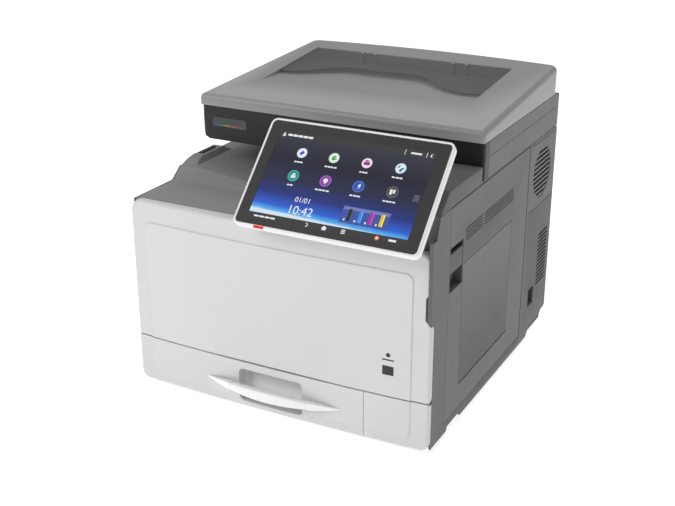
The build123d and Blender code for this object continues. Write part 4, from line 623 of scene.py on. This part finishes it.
class COPIER_OT_picture(bpy.types.Operator):
    """Icons, clock and toner gauge shown on the screen, and the marks on its glass front"""
    bl_idname = "copier.picture"
    bl_label = "Screen picture"

    def execute(self, context):
        self.step = sizes().picture
        self.white = lit("Lit white", (0.80, 0.82, 0.86), 0.9)
        self.icons()
        self.bars()
        self.clock()
        self.gauge()
        self.marks()
        return {"FINISHED"}

    def show(self, name, outlines, material, layer):
        """Thin plates on the screen; a layer is so many steps above it."""
        flat_piece(name, outlines, material, "operation_panel", panel_matrix(0, 0, layer * self.step),
                   self.step)

    def icons(self):
        """Two rows of round icons with a caption bar under each."""
        columns = [46.0 * MM + 50.7 * MM * i for i in range(4)]
        rows = (110.5 * MM, 74.0 * MM)
        discs = ((0.85, 0.88, 0.92), (0.82, 0.88, 0.82), (0.85, 0.80, 0.86), (0.80, 0.88, 0.92),
                 (0.02, 0.30, 0.26), (0.26, 0.07, 0.36), (0.03, 0.10, 0.42), (0.07, 0.07, 0.07))
        glyphs = ((0.03, 0.09, 0.60), (0.03, 0.30, 0.05), (0.28, 0.02, 0.24), (0.02, 0.20, 0.42),
                  (0.75, 0.85, 0.83), (0.85, 0.80, 0.88), (0.80, 0.85, 0.92), (0.85, 0.85, 0.85))
        widths = (14.0, 19.0, 13.0, 17.0, 9.0, 22.0, 17.0, 19.0)
        for i in range(8):
            x, y = columns[i % 4], rows[i // 4]
            if i < 4:
                ring = tuple(0.55 * c for c in glyphs[i])
            else:
                ring = tuple(min(1, 2.0 * c + 0.05) for c in discs[i])
            self.show(f"icon_rim_{i}", [circle(x, y, 8.6 * MM)], lit(f"Icon rim {i}", ring, 0.8), 1)
            self.show(f"icon_disc_{i}", [circle(x, y, 7.7 * MM)], lit(f"Icon disc {i}", discs[i], 0.8), 2)
            self.show(f"icon_glyph_{i}", self.glyph(i, x, y), lit(f"Icon glyph {i}", glyphs[i], 0.85), 3)
            half = widths[i] * MM / 2
            words = max(2, round(widths[i] / 5))
            step = 2 * half / words
            bars = []
            for k in range(words):
                left = x - half + k * step
                bars.append(rounded(left, left + step * (0.9 if k % 2 else 0.8), y - 15.6 * MM,
                                    y - 13.4 * MM, 0.5 * MM))
            self.show(f"icon_caption_{i}", bars, self.white, 1)

    def glyph(self, i, x, y):
        """Simple sign inside an icon, one of eight."""
        m = MM
        tilted = [(x - 4 * m, y - 1 * m), (x - 0.5 * m, y - 4 * m), (x + 4 * m, y + 1 * m),
                  (x + 0.5 * m, y + 4 * m)]
        if i == 0:
            return [tilted]
        if i == 1:
            low = [(x - 4 * m, y - 1 * m), (x - 1 * m, y - 4 * m), (x + 4.5 * m, y - 1.5 * m),
                   (x + 3.5 * m, y - 0.2 * m)]
            high = [(x - 4.2 * m, y + 0.4 * m), (x - 0.6 * m, y - 0.6 * m), (x + 4 * m, y + 2.4 * m),
                    (x + 0.5 * m, y + 3.6 * m)]
            return [low, high]
        if i == 2:
            return [rounded(x - 4.6 * m, x + 4.6 * m, y - 3 * m, y + 1.6 * m, 1 * m),
                    [(x - 2.6 * m, y + 2.2 * m), (x + 2.6 * m, y + 2.2 * m), (x + 1.4 * m, y + 4.4 * m),
                     (x - 3.6 * m, y + 4.4 * m)]]
        if i == 3:
            return [[(x - 6 * m, y + 1 * m), (x - 1 * m, y + 5.5 * m), (x - 2.5 * m, y + 0.5 * m)],
                    [(x + 1 * m, y - 6 * m), (x + 5.5 * m, y + 1.5 * m), (x + 1 * m, y + 0.8 * m),
                     (x - 2 * m, y - 3.4 * m)]]
        if i == 4:
            return [rounded(x - 3.6 * m, x + 3.6 * m, y - 3.4 * m, y + 0.6 * m, 0.8 * m),
                    rounded(x - 2.2 * m, x + 2.2 * m, y + 1.2 * m, y + 3.8 * m, 0.5 * m)]
        if i == 5:
            return [circle(x, y + 0.6 * m, 3.4 * m, 20),
                    rounded(x - 0.9 * m, x + 0.9 * m, y - 4.8 * m, y - 2 * m, 0.4 * m)]
        if i == 6:
            return [[(x - 1 * m, y - 4.6 * m), (x + 1.4 * m, y - 0.4 * m), (x - 1.6 * m, y + 0.2 * m),
                     (x + 1.6 * m, y + 4.8 * m), (x + 3 * m, y + 1.6 * m), (x + 2.2 * m, y - 1.4 * m)]]
        return [rounded(x - 3.8 * m, x - 0.4 * m, y - 4 * m, y + 4 * m, 0.7 * m),
                rounded(x + 0.6 * m, x + 3.8 * m, y - 1.8 * m, y + 4 * m, 0.7 * m)]

    def bars(self):
        """Dark bars along the top and the bottom of the screen, with their small signs."""
        wide, tall = screen_size()
        dark = lit("Bar grey", (0.048, 0.048, 0.05), 0.8)
        foot = 10.6 * MM
        head = tall - 9.6 * MM
        self.show("status_bar", [[(0, head), (wide, head), (wide, tall), (0, tall)]], dark, 1)
        self.show("lower_bar", [[(0, 0), (wide, 0), (wide, foot), (0, foot)]], dark, 1)
        m = MM
        y = head + 4.6 * m
        signs = [circle(8 * m, y + 1.2 * m, 1.5 * m, 16),
                 rounded(5.6 * m, 10.4 * m, y - 3 * m, y - 0.6 * m, 1 * m)]
        signs += [rounded(14 * m + 8.2 * m * k, 21.2 * m + 8.2 * m * k, y - 1.6 * m, y + 1.6 * m, 0.6 * m)
                  for k in range(5)]
        signs += [rounded(205 * m, 221 * m, y - 1.3 * m, y + 1.3 * m, 0.6 * m)]
        signs += [rounded(196 * m, 196.8 * m, head + 1 * m, tall - 1 * m, 0.2 * m),
                  rounded(228 * m, 228.8 * m, head + 1 * m, tall - 1 * m, 0.2 * m)]
        moon = circle(236 * m, y, 2.4 * m, 14, radians(60), radians(240))
        moon += list(reversed(circle(237.2 * m, y, 1.9 * m, 14, radians(75), radians(210))))
        signs.append(moon)
        y = foot / 2
        signs += [rounded(10 * m + 8.6 * m * k, 17.6 * m + 8.6 * m * k, y - 1.2 * m, y + 1.2 * m, 0.5 * m)
                  for k in range(4)]
        signs += [rounded(216 * m, 227 * m, y - 1.5 * m, y + 1.5 * m, 0.6 * m)]
        signs += self.corner_signs()
        self.show("bar_signs", signs, self.white, 2)
        stop = lit("Stop lamp", (0.85, 0.20, 0.05), 0.9)
        self.show("stop_sign", [circle(199 * m, y, 3.2 * m, 24)], stop, 2)
        self.show("stop_core", [circle(199 * m, y, 1.5 * m, 16)], self.white, 3)
        menu = lit("Menu grey", (0.16, 0.16, 0.19), 0.8)
        bars = [rounded(230 * m, 238.5 * m, 66 * m + 2.6 * m * k, 67.4 * m + 2.6 * m * k, 0.4 * m)
                for k in range(4)]
        self.show("side_menu", bars, menu, 1)

    def corner_signs(self):
        """Back, home and list signs in the lower bar."""
        m = MM
        y = 5.2 * m
        back = circle(92 * m, y, 3.0 * m, 14, radians(-90), radians(200))
        back += list(reversed(circle(92 * m, y, 1.9 * m, 14, radians(-90), radians(200))))
        home = [(117 * m, y - 3 * m), (123 * m, y - 3 * m), (123 * m, y), (124.4 * m, y),
                (120 * m, y + 3.6 * m), (115.6 * m, y), (117 * m, y)]
        rows = [rounded(146 * m, 152 * m, y - 3 * m + 2.3 * m * k, y - 1.7 * m + 2.3 * m * k, 0.3 * m)
                for k in range(3)]
        return [back, home, *rows]

    def clock(self):
        """Time and date in plain figures."""
        for name, words, size, x, y in (("date_figures", "01/01", 11.0, 62.0, 36.0),
                                        ("clock_figures", "10:42", 18.0, 56.0, 17.5)):
            words_curve = bpy.data.curves.new(name, "FONT")
            words_curve.body = words
            words_curve.size = size * MM
            words_curve.extrude = self.step / 2
            holder = bpy.data.objects.new(name + "_line", words_curve)
            bpy.context.scene.collection.objects.link(holder)
            bpy.context.view_layer.update()
            ready = holder.evaluated_get(bpy.context.evaluated_depsgraph_get())
            mesh = bpy.data.meshes.new_from_object(ready)
            bpy.data.objects.remove(holder)
            mesh.transform(panel_matrix(x * MM, y * MM, 1.6 * self.step))
            mesh.materials.clear()
            piece(name, mesh, self.white, "operation_panel")

    def gauge(self):
        """Toner gauge: a pale box with a column for each colour."""
        m = MM
        self.show("gauge_box", [rounded(137 * m, 208 * m, 18 * m, 43.5 * m, 1.2 * m)],
                  lit("Gauge box", (0.05, 0.09, 0.34), 0.9), 1)
        self.show("gauge_head", [rounded(138 * m, 207 * m, 38 * m, 42.5 * m, 1 * m)],
                  lit("Gauge head", (0.16, 0.20, 0.46), 0.9), 2)
        columns = ((0.02, 0.02, 0.02), (0.04, 0.25, 0.80), (0.42, 0.03, 0.33), (0.80, 0.52, 0.02))
        for i, colour in enumerate(columns):
            x = 147 * m + 16 * m * i
            self.show(f"gauge_column_{i}", [rounded(x, x + 5.4 * m, 21.5 * m, 39.5 * m, 0.5 * m)],
                      lit(f"Gauge column {i}", colour, 0.9), 3)
            self.show(f"gauge_cap_{i}", [rounded(x + 3.9 * m, x + 5.4 * m, 21.5 * m, 39.5 * m, 0.4 * m)],
                      lit(f"Gauge cap {i}", tuple(min(1, c * 1.6 + 0.04) for c in colour), 0.9), 4)
            self.show(f"gauge_tick_{i}", [rounded(x - 4.6 * m, x - 2.4 * m, 21.5 * m, 24.5 * m, 0.5 * m)],
                      self.white, 3)

    def marks(self):
        """Lamps and small signs on the glass front and the case."""
        wide, tall = screen_size()
        m = MM
        lift = 6 * self.step
        white = lit("Sign white", (0.70, 0.70, 0.70), 0.6)
        signs = [circle(wide - 1.5 * m, tall + 4.4 * m, 1.9 * m, 20)]
        signs += [rounded(-14 * m, -9.6 * m, 34 * m, 36 * m, 0.6 * m),
                  rounded(-13.4 * m, -10.2 * m, 36.4 * m, 39 * m, 0.6 * m)]
        flat_piece("front_signs", signs, white, "operation_panel", panel_matrix(0, 0, lift), self.step)
        bm = bmesh.new()
        add_ring(bm, -12 * m, 22 * m, 1.4 * m, 2.2 * m, 0, self.step, panel_matrix(0, 0, lift), 20)
        add_ring(bm, 24 * m, -5.4 * m, 1.6 * m, 2.4 * m, 0, self.step, panel_matrix(0, 0, lift), 20)
        piece("front_rings", finish_mesh("front_rings", bm), white, "operation_panel")
        cyan = lit("Ready lamp", (0.02, 0.60, 0.75), 1.2)
        lamp = [rounded(wide - 5 * m, wide + 2.6 * m, tall + 8.4 * m, tall + 12 * m, 0.6 * m)]
        flat_piece("ready_lamp", lamp, cyan, "operation_panel", panel_matrix(0, 0, lift), self.step)
        red = lit("Alert lamp", (0.80, 0.015, 0.02), 1.0)
        tab = [rounded(16 * m, 32 * m, -13.6 * m, -9.4 * m, 1.0 * m)]
        flat_piece("alert_lamp", tab, red, "operation_panel", panel_matrix(0, 0, 1.0 * m), 0.2 * m)


class COPIER_OT_works(bpy.types.Operator):
    """Frame, drawer and the works inside"""
    bl_idname = "copier.works"
    bl_label = "Works"

    def execute(self, context):
        steel = brushed("Galvanised sheet", (0.56, 0.57, 0.59), 0.42, (1.0, 8.0, 8.0))
        dress(steel, "base_frame", "lift_plate", "power_supply", "fuser_frame")
        dress(moulded("Inner cover", (0.36, 0.36, 0.37), 0.5), "inner_cover", "cassette_tray")
        dress(moulded("Fitting black", (0.03, 0.03, 0.032), 0.45), "side_fence_front", "side_fence_rear",
              "end_fence", "fan_rotor", "laser_unit", "drive_unit", "developer_units")
        dress(moulded("Toner bottle", (0.45, 0.46, 0.48), 0.35, relief=0.1), "toner_bottles")
        dress(gloss("Drum coating", (0.02, 0.12, 0.17), 0.1), "drum_yellow", "drum_magenta", "drum_cyan",
              "drum_black")
        dress(moulded("Roller rubber", (0.04, 0.04, 0.042), 0.7, 0.4, 0.4), "fuser_roller", "pressure_roller",
              "feed_roller", "exit_roller")
        dress(gloss("Belt", (0.02, 0.02, 0.022), 0.2), "transfer_belt")
        dress(circuit_board(), "main_board")
        return {"FINISHED"}


class COPIER_OT_side_marks(bpy.types.Operator):
    """Raised three-bar marks on the right door, painted lighter than the door as a highlight, and the small
    plain plates on the front
    """
    bl_idname = "copier.side_marks"
    bl_label = "Side marks"

    def execute(self, context):
        colours = context.scene.copier_colours
        # Painted highlight: the marks are moulded in the cover's grey and painted half as light again, to
        # stand for the light their raised faces catch.
        light = moulded("Raised mark", tuple(min(1.0, 1.5 * c) for c in colours.sides), 0.4, relief=0.1)
        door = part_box("right_door")
        m = MM
        marks = (("upper_mark", 135.2, 266.0, "right_door"), ("lower_mark", 138.2, 173.0, "bypass_tray"))
        for name, y, z, body in marks:
            where = Matrix.Translation((door[1].x, door[0].y + y * m, door[0].z + z * m + 32 * m))
            turn = where @ Matrix.Rotation(radians(90), 4, "Z") @ Matrix.Rotation(radians(90), 4, "X")
            bars = [rounded(-4.5 * m, 4.5 * m, 4.6 * m * k, 4.6 * m * k + 1.4 * m, 0.5 * m) for k in range(3)]
            flat_piece(name, bars, light, body, turn, 0.3 * m)
        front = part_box("front_door")[0]
        lean = atan2(PLATE_X, BOW_RADIUS)
        place = Matrix.Translation((PLATE_X, front.y + 4.0 * m, 0.0)) @ Matrix.Rotation(lean, 4, "Z")
        place = place @ Matrix.Rotation(radians(90), 4, "X")
        ink = moulded("Plain plate", (0.03, 0.03, 0.032), 0.5, relief=0.1)
        signs = [rounded(-8.5 * m, 8.5 * m, 122 * m, 136 * m, 0.8 * m), circle(0, 153 * m, 3.2 * m, 20),
                 rounded(-9 * m, 9 * m, 144.6 * m, 146.4 * m, 0.4 * m)]
        flat_piece("front_plates", signs, ink, "front_door", place, 0.4 * m)
        return {"FINISHED"}


class COPIER_OT_stage(bpy.types.Operator):
    """Pale floor, soft light and the camera"""
    bl_idname = "copier.stage"
    bl_label = "Stage"

    def execute(self, context):
        self.floor()
        self.lights()
        self.camera()
        return {"FINISHED"}

    def floor(self):
        """Pale floor, wide enough to fill the view, with a faint unevenness."""
        settings = bpy.context.scene.copier_stage
        bm = bmesh.new()
        bmesh.ops.create_grid(bm, x_segments=8, y_segments=8, size=9.0)
        mesh = finish_mesh("floor", bm)
        material, tree, shader, place = start_material("Floor")
        cloud = noise(tree, place, 1.5, 2.0)
        light = tuple(settings.floor)
        dark = tuple(c * 0.985 for c in light)
        shade = mix_colour(tree, cloud.outputs[0], dark, light)
        join(tree, (shade, shader.inputs["Base Color"]))
        shader.inputs["Roughness"].default_value = 0.9
        shader.inputs["Specular IOR Level"].default_value = 0.1
        shader.inputs["Emission Color"].default_value = (1, 1, 1, 1)
        shader.inputs["Emission Strength"].default_value = 0.62
        mesh.materials.append(material)
        floor = bpy.data.objects.new("floor", mesh)
        bpy.context.scene.collection.objects.link(floor)

    def lights(self):
        """Large soft lights: key from the upper left, fill from the right and a strip over the lid."""
        world = bpy.data.worlds.new("Studio")
        bpy.context.scene.world = world
        world.use_nodes = True
        world.node_tree.nodes["Background"].inputs[0].default_value = (1, 1, 1, 1)
        world.node_tree.nodes["Background"].inputs[1].default_value = 0.36
        target = Vector((0.0, 0.0, 0.22))
        for name, where, size, power in (("key", (-1.5, -2.2, 2.0), 1.6, 40.0),
                                         ("top", (0.3, 0.9, 2.6), 1.8, 22.0),
                                         ("side", (2.6, 0.6, 1.1), 1.4, 4.9)):
            data = bpy.data.lights.new(name, "AREA")
            data.shape = "DISK"
            data.size = size
            data.energy = power
            lamp = bpy.data.objects.new(name, data)
            bpy.context.scene.collection.objects.link(lamp)
            lamp.location = where
            lamp.rotation_euler = (target - Vector(where)).to_track_quat("-Z", "Y").to_euler()

    def camera(self):
        """Camera in front of the right front corner, looking down at the machine."""
        settings = bpy.context.scene.copier_stage
        data = bpy.data.cameras.new("camera")
        data.lens = settings.lens
        data.sensor_width = 36.0
        eye = bpy.data.objects.new("camera", data)
        bpy.context.scene.collection.objects.link(eye)
        eye.location = settings.eye
        turn, tilt = settings.turn, settings.tilt
        ahead = Vector((-sin(turn) * cos(tilt), cos(turn) * cos(tilt), -sin(tilt)))
        eye.rotation_euler = ahead.to_track_quat("-Z", "Y").to_euler()
        bpy.context.scene.camera = eye
        bpy.context.scene.view_settings.view_transform = "Standard"


class COPIER_PT_sidebar(bpy.types.Panel):
    """Lists the copier's operators and settings"""
    bl_idname = "COPIER_PT_sidebar"
    bl_label = "Desktop Copier"
    bl_space_type = "VIEW_3D"
    bl_region_type = "UI"
    bl_category = "Copier"

    def draw(self, context):
        layout = self.layout
        for operator in OPERATORS:
            layout.operator(operator.bl_idname)
        for group in (context.scene.copier_colours, context.scene.copier_sizes, context.scene.copier_stage):
            box = layout.box()
            for name in group.bl_rna.properties.keys():
                if name not in ("rna_type", "name"):
                    box.prop(group, name)


SETTINGS = (CopierColours, CopierSizes, CopierStage)
OPERATORS = (COPIER_OT_covers, COPIER_OT_front, COPIER_OT_tray, COPIER_OT_scanner, COPIER_OT_lid,
             COPIER_OT_panel, COPIER_OT_picture, COPIER_OT_works, COPIER_OT_side_marks, COPIER_OT_stage)


def register():
    for item in (*SETTINGS, *OPERATORS, COPIER_PT_sidebar):
        bpy.utils.register_class(item)
    bpy.types.Scene.copier_colours = PointerProperty(type=CopierColours)
    bpy.types.Scene.copier_sizes = PointerProperty(type=CopierSizes)
    bpy.types.Scene.copier_stage = PointerProperty(type=CopierStage)


def unregister():
    del bpy.types.Scene.copier_stage
    del bpy.types.Scene.copier_sizes
    del bpy.types.Scene.copier_colours
    for item in reversed((*SETTINGS, *OPERATORS, COPIER_PT_sidebar)):
        bpy.utils.unregister_class(item)


def main():
    register()
    for operator in OPERATORS:
        group, name = operator.bl_idname.split(".")
        getattr(getattr(bpy.ops, group), name)()
    bpy.context.view_layer.update()


if __name__ == "__main__":
    main()
